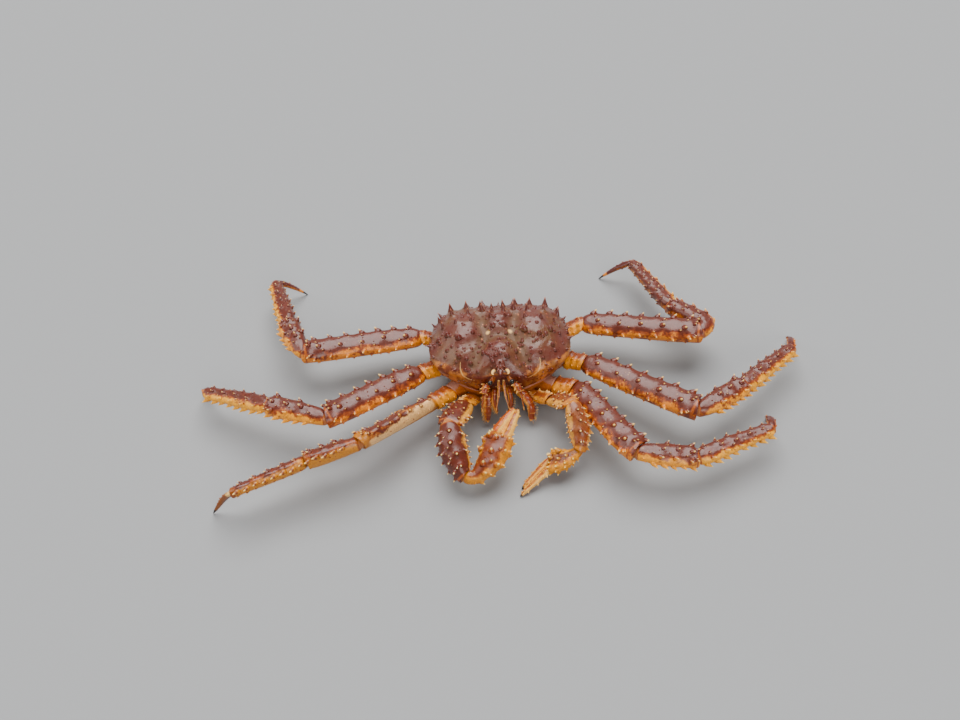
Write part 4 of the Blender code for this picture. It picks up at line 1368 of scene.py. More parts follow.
@dataclass
class WalkingLeg:
    """A walking leg, given by its first joints and by the lengths and headings after them.

    socket, root and knee are the ends of the hip and of the merus. carpus and propodus are
    (length, heading, pitch), and dactylus is (length, heading): its tip lies on the floor.
    """

    TURNS = {"merus": (-48.0, 66.0), "carpus": (-8.0, 0.0), "propodus": (-16.0, 0.0),
             "dactylus": (-34.0, 0.0)}

    name: str
    socket: tuple
    root: tuple
    knee: tuple
    carpus: tuple
    propodus: tuple
    dactylus: tuple
    curl: int
    roll: float = 0.0
    arch: float = 4.2

    def joints(self) -> list[Vector]:
        """The leg's joints, from the socket to the tip of the dactylus.

        Returns:
            Six points, in millimetres.
        """
        points = [Vector(self.socket), Vector(self.root), Vector(self.knee)]
        for length, azimuth, pitch in (self.carpus, self.propodus):
            points.append(points[-1] + heading(azimuth, pitch) * length)
        length, azimuth = self.dactylus
        fall = math.degrees(math.asin((points[-1].z - TIP_HEIGHT) / length))
        points.append(points[-1] + heading(azimuth, -fall) * length)
        return [p + BODY_AT for p in points]

    def lift(self, chord: Vector) -> Vector:
        """The upper side of a plate, rolled about the leg's run."""
        turn = Matrix.Rotation(math.radians(self.roll * self.curl), 3, chord.normalized())
        return turn @ UP

    def arched(self, run: Run, height: float) -> Run:
        """The run of the last plate, curved like a claw.

        Args:
            run: the plate's straight run.
            height: how far its middle rises.

        Returns:
            The curved run.
        """
        path = [run.centre(k / 8) + run.lift * (height * math.sin(math.pi * (k / 8) ** 0.85))
                for k in range(9)]
        return Run(path, run.widths, run.lift, run.start_normal, None)

    def build(self) -> None:
        """Builds and dresses the leg's five plates."""
        joints = self.joints()
        widths = [HIP_WIDTHS, MERUS_WIDTHS, CARPUS_WIDTHS, PROPODUS_WIDTHS, DACTYLUS_WIDTHS]
        lifts = [UP] + [self.lift(b - a) for a, b in zip(joints[1:], joints[2:])]
        runs = segment_runs(joints, widths, lifts, 26.0, [0.0] * 5)
        runs[4] = self.arched(runs[4], self.arch)
        turned = abs(self.roll) > 1
        finishes = [HIP, TURNED_MERUS, TURNED_CARPUS, TURNED_CARPUS, TURNED_FOOT] if turned else [
            HIP, MERUS, CARPUS, PROPODUS, FOOT]
        plans = [
            ("hip", Slot.JOINT, HIP_ROWS, [], 18, {"spacing": 4.0, "sides": 14}),
            ("merus", Slot.SHELL, MERUS_ROWS + ([GROOVE_DOTS] if turned else []), LIMB_RIDGES, 36,
             {}),
            ("carpus", Slot.SHELL, CARPUS_ROWS, LIMB_RIDGES, 18, {}),
            ("propodus", Slot.SHELL, PROPODUS_ROWS, LIMB_RIDGES, 26, {}),
            ("dactylus", Slot.HORN, FOOT_ROWS, [], 6,
             {"pointed": True, "sides": 12, "spacing": 6.0}),
        ]
        for (kind, slot, rows, ridges, grains, more), finish, run in zip(plans, finishes, runs):
            turn, twist = self.TURNS.get(kind, (0.0, 0.0)) if turned else (0.0, 0.0)
            Plate(f"{self.name}_{kind}", run, self.curl, finish, slot, rows, ridges, grains,
                  turn=turn, twist=twist, **more).build()


LEGS = [
    WalkingLeg("left_rear_leg", (83, 46, 32), (113, 52, 43), (264, 11, 54),
               (68, 114, -7), (111, 111, -4), (61, 163), -1),
    WalkingLeg("left_middle_leg", (86, -3, 32), (111, -17, 38), (239, -120, 52),
               (76, 31, -4), (106, 42, -6), (65, 76), -1, arch=7.5),
    WalkingLeg("left_front_leg", (67, -44, 28), (94, -57, 35), (158, -179, 50),
               (71, -7, -6), (106, 23, -2), (64, 79), -1, arch=7.5),
    WalkingLeg("right_rear_leg", (-82, 46, 31), (-107, 48, 40), (-262, 19, 52),
               (66, 117, 1), (106, 108, -7), (57, 26), 1),
    WalkingLeg("right_middle_leg", (-85, -3, 31), (-106, -18, 38), (-221, -104, 58),
               (82, 160, -1), (106, 154, -10), (56, 115), 1),
    WalkingLeg("right_front_leg", (-66, -45, 28), (-90, -70, 36), (-177, -148, 58),
               (68, -165, -7), (94, -155, -1), (60, 170), 1, 55.0),
]

CLAW_HIP_WIDTHS = [
    (0, 10.5, 10.5), (0.2, 12.2, 11.6), (0.45, 11, 10.6), (0.7, 12.4, 11.6), (1, 11, 10.5),
]
CLAW_MERUS_WIDTHS = [(0, 10.5, 10), (0.3, 14, 13), (0.75, 16, 14.5), (1, 13.5, 12.5)]
CLAW_CARPUS_WIDTHS = [
    (0, 11.5, 11), (0.3, 15, 14), (0.6, 15.5, 14.5), (0.85, 12, 12.5), (1, 9.5, 10),
]
PALM_WIDTHS = [
    (0, 8.5, 8.5), (0.22, 9, 9), (0.42, 13.5, 12), (0.65, 16.5, 13), (0.85, 16, 12), (1, 15, 10.5),
]
FINGER_WIDTHS = [
    (0, 7.2, 8.6), (0.3, 7.3, 8.0), (0.55, 6.4, 7.0), (0.8, 4.8, 5.4), (0.93, 3.4, 4.0),
    (1, 1.6, 2.0),
]
CLAW_BOWS = (0.0, 0.0, 4.0, 4.5)

# Each segment's rows of thorns, as (first, last, count, angle, height, girth)
CLAW_ROWS = {
    "hip": [(0.3, 0.8, 2, 60, 3.0, 0.6)],
    "merus": [(0.3, 0.9, 3, 10, 4.4, 0.5), (0.35, 0.9, 3, 60, 4.4, 0.56),
              (0.5, 0.9, 2, 125, 4.4, 0.56), (0.3, 0.8, 3, 90, 2.6, 0.7),
              (0.6, 0.95, 3, 165, 5.0, 0.45)],
    "carpus": [(0.18, 0.95, 6, -5, 4.2, 0.5), (0.2, 0.88, 5, 38, 4.0, 0.62),
               (0.2, 0.85, 4, 85, 4.2, 0.62), (0.25, 0.6, 2, 135, 4.2, 0.6),
               (0.3, 0.85, 4, 62, 2.2, 0.8), (0.2, 0.8, 5, -40, 3.0, 0.6),
               (0.25, 0.85, 6, 165, 3.4, 0.5)],
    "palm": [(0.2, 0.9, 5, -8, 3.6, 0.56), (0.3, 0.92, 4, 40, 4.2, 0.66),
             (0.4, 0.9, 3, 92, 4.2, 0.7), (0.65, 0.86, 2, 160, 5.0, 0.76),
             (0.35, 0.95, 4, 14, 2.8, 0.7), (0.5, 0.95, 3, 66, 2.6, 0.7),
             (0.4, 0.95, 3, 185, 3.6, 0.7), (0.92, 0.97, 3, 120, 4.2, 0.7)],
}


def claw_rows(kind: str, girth: float) -> list[Spikes]:
    """The thorns of one claw segment."""
    return [Spikes(a, b, n, angle, height * girth, 0.3, girth=round_)
            for a, b, n, angle, height, round_ in CLAW_ROWS[kind]]


@dataclass
class ClawLeg:
    """A claw leg: its joints from the socket to the palm's end, its finger tip and its sizes."""

    name: str
    socket: tuple
    joints: tuple
    tip: tuple
    girth: float
    spread: float
    curl: int
    finger_girth: float
    thorn_size: float

    def finger_run(self, palm: Run, sense: int, back: float) -> Run:
        """The curved line of one finger, from the palm's end to its tip.

        Args:
            palm: the palm's run.
            sense: the side of the palm that the finger stands on, 1 or -1.
            back: how far it starts behind the palm's end.

        Returns:
            The run.
        """
        end = palm.centre(1.0)
        way = (palm.path[-1] - palm.path[-2]).normalized()
        side = way.cross(palm.lift).normalized()
        tip = Vector(self.tip) + BODY_AT
        offset = 6.2 * self.girth
        start = end + side * (sense * offset) - way * back
        middle = end.lerp(tip, 0.55) + side * (sense * (0.85 * offset + 0.6 * self.spread))
        finger_tip = tip + side * (sense * (2.2 * self.girth + self.spread))
        path = [(start * (1 - t) + middle * t) * (1 - t) + (middle * (1 - t) + finger_tip * t) * t
                for t in (0, 0.2, 0.4, 0.6, 0.8, 1)]
        return Run(path, scaled(FINGER_WIDTHS, self.finger_girth), UP, way, None)

    def teeth(self, sense: int) -> list[Spikes]:
        """The knobs along a finger's biting edge and the few on its outer edge.

        Args:
            sense: the side of the palm that the finger stands on.

        Returns:
            The rows.
        """
        inner = 0 if sense == self.curl else 180
        outer = 180 - inner
        return [
            Spikes(0.2, 0.9, 7, inner, 2.2 * self.girth, 0.0, ThornKind.KNOB, 3.0, 0.7),
            Spikes(0.25, 0.8, 3, outer, 2.6, 0.5),
            Spikes(0.25, 0.85, 4, 90, 2.0, 0.4),
        ]

    def finger(self, kind: str, palm: Run, sense: int, back: float, finish: WetFinish,
               neck: float) -> Plate:
        """One finger, ready to model."""
        return Plate(f"{self.name}_{kind}", self.finger_run(palm, sense, back), self.curl, finish,
                     Slot.HORN, self.teeth(sense), [], 8, 12, pointed=True, neck=neck, spacing=5.0)

    def build(self) -> None:
        """Builds and dresses the claw leg's five pieces."""
        joints = [Vector(p) + BODY_AT for p in (self.socket, *self.joints)]
        tables = (CLAW_HIP_WIDTHS, CLAW_MERUS_WIDTHS, CLAW_CARPUS_WIDTHS, PALM_WIDTHS)
        widths = [scaled(table, self.girth) for table in tables]
        bows = [self.girth * self.curl * bow for bow in CLAW_BOWS]
        runs = segment_runs(joints, widths, [UP] * 4, 24.0, bows)
        crusher = self.curl < 0
        upper = CLAW_UPPER if crusher else OCHRE_CLAW
        palm, edge = (PALM, RED_FINGER) if crusher else (YELLOW_PALM, CREAM_FINGER)
        plans = [("hip", CLAW_HIP, Slot.JOINT, {"spacing": 4.0}), ("merus", upper, Slot.SHELL, {}),
                 ("carpus", upper, Slot.SHELL, {})]
        for (kind, finish, slot, more), run in zip(plans, runs):
            Plate(f"{self.name}_{kind}", run, self.curl, finish, slot,
                  claw_rows(kind, self.thorn_size), [], 30, **more).build()
        fixed = self.finger("fixed", runs[3], -self.curl, 6.0, CREAM_FINGER, 2.0).model()
        Plate(f"{self.name}_palm", runs[3], self.curl, palm, Slot.SHELL,
              claw_rows("palm", self.thorn_size), [], 26, collar=1.0).build([fixed])
        self.finger("finger", runs[3], self.curl, -GAP, edge, 3.0).build()


CLAWS = [
    ClawLeg("right_claw", (-40, -57, 25),
            ((-47, -72, 35), (-67, -121, 51), (-49, -184, 27), (-5, -137, 43)),
            (17, -100, 50), 1.1, 0.2, -1, 0.88, 1.12),
    ClawLeg("left_claw", (41, -58, 25),
            ((60, -74, 35), (86, -103, 57), (91, -156, 30), (53, -163, 17)),
            (17, -194, 2.2), 0.86, 4.2, 1, 0.64, 0.98),
]

# The carapace's half outline at its rim, as (x, y), from the front notch to the rear middle
RIM = [
    (0, -58), (13, -59), (29, -60), (45, -52), (62, -45), (80, -34), (91, -16),
    (94, 8), (93, 32), (87, 52), (72, 69), (42, 82), (0, 86),
]
WALL = [
    (0, -50), (14, -53), (29, -57), (43, -50), (57, -42), (70, -31), (79, -14),
    (80, 10), (78, 32), (73, 48), (60, 62), (30, 69), (0, 70),
]
HEART = Vector((0, 14, 0))
REGIONS = [
    (0, -35, 17, 20, 11.0), (0, 24, 13, 15, 8.0), (50, 12, 23, 27, 8.0), (42, -33, 11, 10, 4.0),
    (0, 62, 36, 20, -7.0), (68, 38, 20, 22, 5.0),
]
GROOVES = [
    ((18, -8), (34, -42), 6.0, 8.0), ((18, -8), (23, 36), 6.5, 7.0), ((0, -3), (18, -8), 6.0, 6.0),
    ((18, -8), (42, -17), 6.0, 4.0),
]
SHELL_THORNS = [
    (0, -51, 4.5), (9, -43, 5.0), (10, -27, 5.0), (0, -19, 4.5), (20, -33, 4.0),
    (7, 11, 5.5), (8, 25, 6.5), (7, 37, 7.0), (21, 46, 8.0), (8, 54, 9.0),
    (34, 0, 5.5), (52, -6, 5.5), (66, 4, 5.5), (36, 20, 6.0), (55, 18, 7.0), (72, 22, 6.5),
    (40, 38, 7.5), (60, 38, 7.5), (24, 64, 10.0), (43, 57, 10.0), (62, 55, 9.0),
    (38, -40, 4.5), (52, -31, 4.5), (68, -18, 5.0), (78, 4, 5.0), (77, 40, 8.0),
]


def full_outline(half: list, count: int) -> np.ndarray:
    """A closed, symmetric outline with evenly spaced points.

    Args:
        half: its half, as rows of x, y from the front to the rear.
        count: how many points it gets.

    Returns:
        Rows of x, y.
    """
    ends = np.array(half + [(-x, y) for x, y in reversed(half[1:-1])], float)
    fine = curve(ends, 12, closed=True)
    fine = np.vstack([fine, fine[:1]])
    steps = np.linalg.norm(np.diff(fine, axis=0), axis=1)
    walked = np.concatenate([[0], np.cumsum(steps)])
    at = np.linspace(0, walked[-1], count, endpoint=False)
    return np.stack([np.interp(at, walked, fine[:, k]) for k in range(2)], 1)


@dataclass
class Carapace:
    """The back shell: a domed shield with regions, grooves, thorns and steep walls."""

    RIDGE = [(51, -38, 76), (51.5, -43, 70.5), (50, -48.5, 65.5), (46.5, -53.5, 62),
             (41, -57.5, 60), (35, -59, 60)]
    PALE_SPOTS = [(15, 3, 2.8), (-14, 3, 2.8)]
    BEAK_THORNS = [
        (0, -52, 86, (0, -0.3, 1), 4.0), (3.8, -55.5, 82.0, (0.5, -0.8, 0.6), 4.2),
        (-3.8, -55.5, 82.0, (-0.5, -0.8, 0.6), 4.2), (2.6, -60.5, 80.4, (0.6, -0.8, 0.3), 3.4),
        (-2.6, -60.5, 80.4, (-0.6, -0.8, 0.3), 3.4), (0, -59, 82.2, (0, -0.6, 0.9), 3.2),
    ]

    rim_height: float = 58.0
    rim_slope: float = 0.09
    brow_rise: float = 8.0
    brow_spread: float = 24.0
    crown_height: float = 88.0
    flatness: float = 3.1
    sides: int = 96
    rings: int = 30
    rim_thorns: int = 26
    knobs: int = 300
    wall_spines: int = 110

    def rim_z(self, x: np.ndarray, y: np.ndarray) -> np.ndarray:
        """The rim's height: it falls towards the rear and rises over the eyes."""
        brow = np.where(y < HEART.y, np.exp(-((x / self.brow_spread) ** 2)), 0.0)
        return self.rim_height - self.rim_slope * y + self.brow_rise * brow

    def rise(self, x: np.ndarray, y: np.ndarray) -> tuple[np.ndarray, np.ndarray]:
        """How far the regions lift the shell, and how deep the grooves are.

        Args:
            x: the points' x.
            y: the points' y.

        Returns:
            The two amounts for each point.
        """
        lift = np.zeros_like(x)
        for cx, cy, sx, sy, height in REGIONS:
            for centre in sorted({cx, -cx}):
                lift += height * np.exp(-(((x - centre) / sx) ** 2) - ((y - cy) / sy) ** 2)
        deepest, total = np.zeros_like(x), np.zeros_like(x)
        for (ax, ay), (bx, by), width, deep in GROOVES:
            share = ((np.abs(x) - ax) * (bx - ax) + (y - ay) * (by - ay)) / (
                (bx - ax) ** 2 + (by - ay) ** 2)
            share = np.clip(share, 0, 1)
            away = np.hypot(np.abs(x) - mix(ax, bx, share), y - mix(ay, by, share))
            depth = 0.62 * deep * np.exp(-((away / (1.35 * width)) ** 2))
            deepest, total = np.maximum(deepest, depth), total + depth
        depth = mix(deepest, total, 0.3)
        return lift - depth, depth

    def top(self, rim: np.ndarray, reach: np.ndarray) -> np.ndarray:
        """The points of the upper side, at these shares of the way to the rim's points.

        Args:
            rim: the rim's points, as rows of x, y.
            reach: the share of the way out for each.

        Returns:
            Rows of x, y, z.
        """
        x, y = rim[:, 0] * reach, HEART.y + (rim[:, 1] - HEART.y) * reach
        dome = (1 - np.clip(reach, 0, 1) ** self.flatness) ** 0.8
        fade = np.minimum(1.0, (1 - reach) / 0.12)
        lift, _ = self.rise(x, y)
        z = mix(self.rim_z(rim[:, 0], rim[:, 1]), self.crown_height, dome) + lift * fade
        return np.stack([x, y, z], 1)

    def at(self, x: float, y: float) -> np.ndarray:
        """The point of the upper side over (x, y).

        Args:
            x: its x from the body's middle.
            y: its y from there.

        Returns:
            The point.
        """
        rim = full_outline(RIM, 720)
        flat = np.array([x, y - HEART.y])
        turn = np.arctan2(rim[:, 1] - HEART.y, rim[:, 0]) - math.atan2(flat[1], flat[0])
        k = np.abs((turn + np.pi) % (2 * np.pi) - np.pi).argmin()
        reach = np.hypot(*flat) / np.hypot(rim[k, 0], rim[k, 1] - HEART.y)
        return self.top(rim[k:k + 1], np.array([min(0.999, reach)]))[0]

    def body(self) -> Piece:
        """The shell without its thorns: a lofted cap pushed into shape.

        Returns:
            The shell.
        """
        levels = [(0.5, 0), (0.72, 1), (0.86, 2), (0.94, 3), (0.985, 4)]
        reaches = [1 - 0.62 * (k / self.rings) ** 1.3 - 0.36 * (k / self.rings) ** 3
                   for k in range(self.rings)]
        flat = [Station(Vector((0, 0, 40 + 3 * k)), Matrix.Identity(3), 80 * r, 80 * r)
                for r, k in levels]
        flat += [Station(Vector((0, 0, 60 + k)), Matrix.Identity(3), 80 * r, 80 * r)
                 for k, r in enumerate(reaches)]
        obj = loft("carapace_shell", flat, self.sides)
        points = Bench.points(obj)
        ring, k = ring_places(points, self.sides)
        rim, wall = full_outline(RIM, self.sides)[k], full_outline(WALL, self.sides)[k]
        rim_z, heart = self.rim_z(rim[:, 0], rim[:, 1]), np.array([0, HEART.y])
        goal = np.zeros_like(points)
        for level, (share, z) in enumerate(((0.5, 42.0), (0.93, 38.0), (1.0, 38.5))):
            here = ring == level
            goal[here, :2], goal[here, 2] = heart + (wall[here] - heart) * share, z
        for level, share, drop in ((3, 0.5, 0.45), (4, 0.93, 0.8)):
            here = ring == level
            goal[here, :2] = mix(wall[here], rim[here], share)
            goal[here, 2] = mix(38.5, rim_z[here] - 2, drop)
        upper = ring >= len(levels)
        reach = np.array(reaches)[np.clip(ring - len(levels), 0, None)]
        goal[upper] = self.top(rim[upper], reach[upper])
        Bench.move(obj, goal + np.array(BODY_AT) - points)
        Bench.subdivide(obj, 1)
        return obj

    def thorns(self) -> list[Seat]:
        """The seats of every thorn and knob of the shell.

        Returns:
            The placed thorns, then the rim's, then the scattered knobs and the walls' spines.
        """
        found = []

        def add(kind: ThornKind, point: tuple, way: Vector, radius: float, height: float) -> None:
            """Adds a seat at a point that is given from the body's middle."""
            found.append(Seat(kind, Vector(point) + BODY_AT, way.normalized(), Vector((0, 1, 0)),
                              radius, height, settle=1 / 3))

        for x, y, height in SHELL_THORNS:
            for sense in sorted({-1, 1} if x else {1}):
                tall = height * (1.1 if y > 40 else 1.0) * (1 + 0.2 * math.sin(3 * x * sense + y))
                if height < 6 and y < 15:
                    add(ThornKind.KNOB, self.at(sense * x, y), Vector((0, 0.12, 1)), 0.62 * tall,
                        0.72 * tall)
                else:
                    add(ThornKind.SPINE, self.at(sense * x, y), Vector((0, 0.3, 1)),
                        0.36 * tall, tall)
        for k, (x, y) in enumerate(full_outline(RIM, self.rim_thorns)):
            outward = Vector((x, y - HEART.y, 0)).normalized()
            if outward.y < -0.93:
                continue
            to_rear = 0.5 + 0.5 * outward.y
            height = mix(5.0, 7.4, to_rear) * (1 + 0.28 * math.sin(2.3 * k))
            add(ThornKind.SPINE, self.top(np.array([[x, y]]), np.array([0.955]))[0],
                outward + UP * mix(0.15, 0.75, to_rear), 0.33 * height, height)
        dice = random.Random(5)
        fine = full_outline(RIM, 360)
        for _ in range(self.knobs):
            k, reach = dice.randrange(360), math.sqrt(dice.random()) * 0.99
            size = dice.uniform(0.9, 3.4)
            add(ThornKind.KNOB, self.top(fine[k:k + 1], np.array([reach]))[0], Vector((0, 0.1, 1)),
                0.8 * size, 0.6 * size)
        for _ in range(self.wall_spines):
            k, drop = dice.randrange(360), dice.uniform(0.03, 0.8)
            x, y = fine[k]
            if y > 52:
                continue
            z = mix(float(self.rim_z(x, y)), 40.0, drop)
            size = dice.uniform(1.2, 2.6)
            outward = Vector((x, y - HEART.y, 0)).normalized()
            add(ThornKind.SPINE, (x, y, z), outward + UP * 0.4, 0.6 * size, size)
        return found

    def rostrum(self) -> Piece:
        """The beak over the eyes, with its side thorns.

        Returns:
            The beak.
        """
        rows = [(-44, 80, 9, 8), (-51, 79.5, 7.4, 7), (-56, 78.6, 5.4, 5), (-61, 78, 3.9, 3.7),
                (-65, 78.6, 2.6, 2.6), (-68, 79.5, 1.0, 1.0)]
        beak = self.horn("rostrum", [((0, y, z), w, h) for y, z, w, h in rows], 12)
        away = rows[0][0] + BODY_AT.y - Bench.points(beak)[:, 1]
        Bench.mark(beak, "tip", smooth((away - 16) / 12) * 0.7)
        Bench.join(beak, [
            Thorns.copy(ThornKind.SPINE, Vector((x, y, z)) + BODY_AT, Vector(way).normalized(),
                        Vector((0, -1, 0)), 0.4 * height, height)
            for x, y, z, way, height in self.BEAK_THORNS])
        return beak

    def horn(self, name: str, rows: list[tuple], sides: int) -> Piece:
        """A pointed form that is lofted through rings.

        Args:
            name: the object's name.
            rows: (centre, half width, half thickness) of each ring.
            sides: how many points a ring has.

        Returns:
            The form, smoothed.
        """
        run = Run([Vector(p) + BODY_AT for p, _, _ in rows], [], UP, None, None)
        rings = [run.station(run.shares[8 * k], w, h) for k, (_, w, h) in enumerate(rows)]
        obj = loft(name, rings, sides)
        Bench.subdivide(obj, 2)
        return obj

    def brow_hooks(self) -> list[Piece]:
        """The pale hooked spines on both sides of the beak.

        Returns:
            The two hooks.
        """
        hooks = []
        for sense in (1, -1):
            rows = [(5.5, -53, 76, 3.2), (8.2, -58, 77.4, 2.7), (10.2, -62.5, 78.6, 2.0),
                    (10.4, -66.5, 80.0, 1.4), (9.0, -69.5, 81.2, 0.5)]
            hook = self.horn("brow_hook", [((sense * x, y, z), s, s) for x, y, z, s in rows], 10)
            away = rows[0][1] + BODY_AT.y - Bench.points(hook)[:, 1]
            Bench.mark(hook, "pale", smooth((away - 3) / 5))
            hooks.append(hook)
        return hooks

    def ridge_lines(self, shell: Piece) -> list[Piece]:
        """The two thin pale ridges that curl down the front corners.

        Args:
            shell: the shell that they lie on.

        Returns:
            The two ridges.
        """
        tree, lines = Bench.tree(shell), []
        for sense in (1, -1):
            seats = [tree.find_nearest((Vector((sense * x, y, z)) + BODY_AT) * MM)
                     for x, y, z in curve(np.array(self.RIDGE), 4)]
            points, stations = [seat[0] / MM for seat in seats], []
            for k, (point, seat) in enumerate(zip(points, seats)):
                ahead = points[min(k + 1, len(points) - 1)] - points[max(k - 1, 0)]
                size = 0.3 + 0.6 * math.sin(math.pi * (k + 0.5) / len(points))
                basis = basis_of(ahead.normalized(), seat[1])
                stations.append(Station(point, basis, size, 0.8 * size))
            line = loft("ridge_line", stations, 8)
            Bench.mark(line, "pale", np.full(len(line.data.vertices), 0.58))
            lines.append(line)
        return lines

    def build(self) -> None:
        """Builds and dresses the back shell."""
        obj = self.body()
        seats = self.thorns()
        Bench.push(obj, swelling(Bench.points(obj), seats, 3, SHELL_SWELL) * MM, "NORMAL")
        Bench.lumps(obj, 14, 1.9)
        Bench.lumps(obj, 5, 0.7)
        Bench.join(obj, [*Thorns.plant(obj, seats), self.rostrum(), *self.brow_hooks(),
                         *self.ridge_lines(obj)])
        self.mark(obj)
        Bench.finish(obj, DOME.material(), Slot.SHELL, "carapace")

    def mark(self, obj: Piece) -> None:
        """Marks the shell's grooves, walls, mouth, pale spots and tips for its finish.

        Args:
            obj: the shell with its thorns.
        """
        x, y, z = (Bench.points(obj) - np.array(BODY_AT)).T
        aside, rim_z, pale = np.abs(x), self.rim_z(x, y), Bench.read(obj, "pale")
        rise = mix(3.0, 9.5, smooth((-y - 5) / 30) * smooth((aside - 20) / 32))
        for spot_x, spot_y, size in self.PALE_SPOTS:
            away = np.hypot(x - spot_x, y - spot_y)
            pale = np.maximum(pale, 1 - away / (2 * size))
        Bench.marks(
            obj, groove=self.rise(x, y)[1] / 4.6, wall=1 - smooth((z - rim_z + 8 - rise) / 12),
            mouth=smooth((44 - aside) / 26) * smooth((-y - 36) / 12) * smooth((72 - z) / 6),
            pale=pale, tip=Bench.read(obj, "tip"))


THORAX_WAIST = [
    (0, -46), (14, -49), (28, -53), (41, -47), (53, -39), (64, -28), (72, -12),
    (72, 10), (71, 32), (67, 48), (56, 61), (30, 69), (0, 70),
]
THORAX_FOOT = [
    (0, -32), (10, -33), (20, -33), (30, -31), (38, -27), (45, -20), (49, -8),
    (50, 8), (49, 24), (46, 38), (38, 51), (24, 59), (0, 62),
]


@dataclass
class Thorax:
    """The chest under the shell, with the sockets of the legs, the claws and the jaws."""

    sides: int = 72

    def boss(self, start: tuple, end: tuple, width: float, thickness: float,
             reach: float) -> Piece:
        """A ringed stub that a limb grows from.

        Args:
            start: the limb's first point, from the body's middle.
            end: the limb's next point.
            width: the stub's half width.
            thickness: its half thickness.
            reach: how far it goes back into the chest.

        Returns:
            The stub.
        """
        root, way = Vector(start) + BODY_AT, (Vector(end) - Vector(start)).normalized()
        rows = [(-reach, 0.9), (-reach * 0.6, 1.15), (-4.5, 1.12), (-3.0, 0.98), (-1.2, 1.08),
                (0.4, 1.0), (0.2, 0.7)]
        rings = [Station(root + way * d, basis_of(way, UP), width * f, thickness * f)
                 for d, f in rows]
        obj = loft("socket", rings, 14)
        Bench.subdivide(obj, 1)
        Bench.mark(obj, "up", np.full(len(obj.data.vertices), 0.3))
        return obj

    def build(self) -> None:
        """Builds and dresses the chest."""
        foot, waist, wall = (full_outline(half, self.sides)
                             for half in (THORAX_FOOT, THORAX_WAIST, WALL))
        rows = [(foot, 0.3, 11.5), (foot, 0.92, 10.4), (foot, 1.0, 13.0),
                (mix(foot, waist, 0.5), 1.0, 17.0), (waist, 1.0, 22.0), (waist, 1.02, 30.0),
                (wall, 1.0, 40.0), (wall, 0.97, 45.8), (wall, 0.6, 45.8)]
        flat = [Station(Vector((0, 0, z)), Matrix.Identity(3), 60, 60) for _, _, z in rows]
        obj = loft("thorax_shell", flat, self.sides)
        points = Bench.points(obj)
        ring, k = ring_places(points, self.sides)
        goal, heart = points.copy(), np.array([0, HEART.y])
        for level, (line, share, _) in enumerate(rows):
            here = ring == level
            goal[here, :2] = heart + (line[k[here]] - heart) * share
        goal[:, :2] += np.array(BODY_AT)[:2]
        Bench.move(obj, goal - points)
        Bench.subdivide(obj, 1)
        points = Bench.points(obj) - np.array(BODY_AT)
        ribs = 1.2 * np.cos(points[:, 1] * 2 * np.pi / 26) * (points[:, 2] < 24)
        Bench.push(obj, ribs * MM, "NORMAL")
        Bench.lumps(obj, 9, 1.4)
        stubs = [self.boss(leg.socket, leg.root, 12, 11.5, 26) for leg in LEGS]
        stubs += [self.boss(claw.socket, claw.joints[0], 10.5 * claw.girth, 10.5 * claw.girth, 20)
                  for claw in CLAWS]
        stubs += [self.boss(jaw[0], jaw[1], 5.6, 5.2, 14) for jaw in JAWS.values()]
        Bench.join(obj, stubs)
        points = Bench.points(obj) - np.array(BODY_AT)
        near = np.min([np.linalg.norm(points - np.array(limb.socket), axis=1)
                       for limb in LEGS + CLAWS], axis=0)
        Bench.marks(obj, up=smooth((points[:, 2] - 12) / 20) * 1.6 - 0.8,
                    edge=-smooth((points[:, 2] - 33) / 6) * smooth((30 - near) / 12),
                    along=np.full(len(points), 0.5), tip=np.zeros(len(points)))
        Bench.finish(obj, UNDERSIDE.material(), Slot.BELLY, "thorax")


TAIL_ROOT = Vector((0, 70.4, 32))
TAIL_THICKNESS = 9.6
TAIL_END = -14.0
TAIL_WIDTHS = [
    (0, 26, 4.4), (0.2, 34, 4.8), (0.45, 33, 4.8), (0.75, 25, 4.8), (0.95, 13, 4.8), (1, 7, 4.4),
]


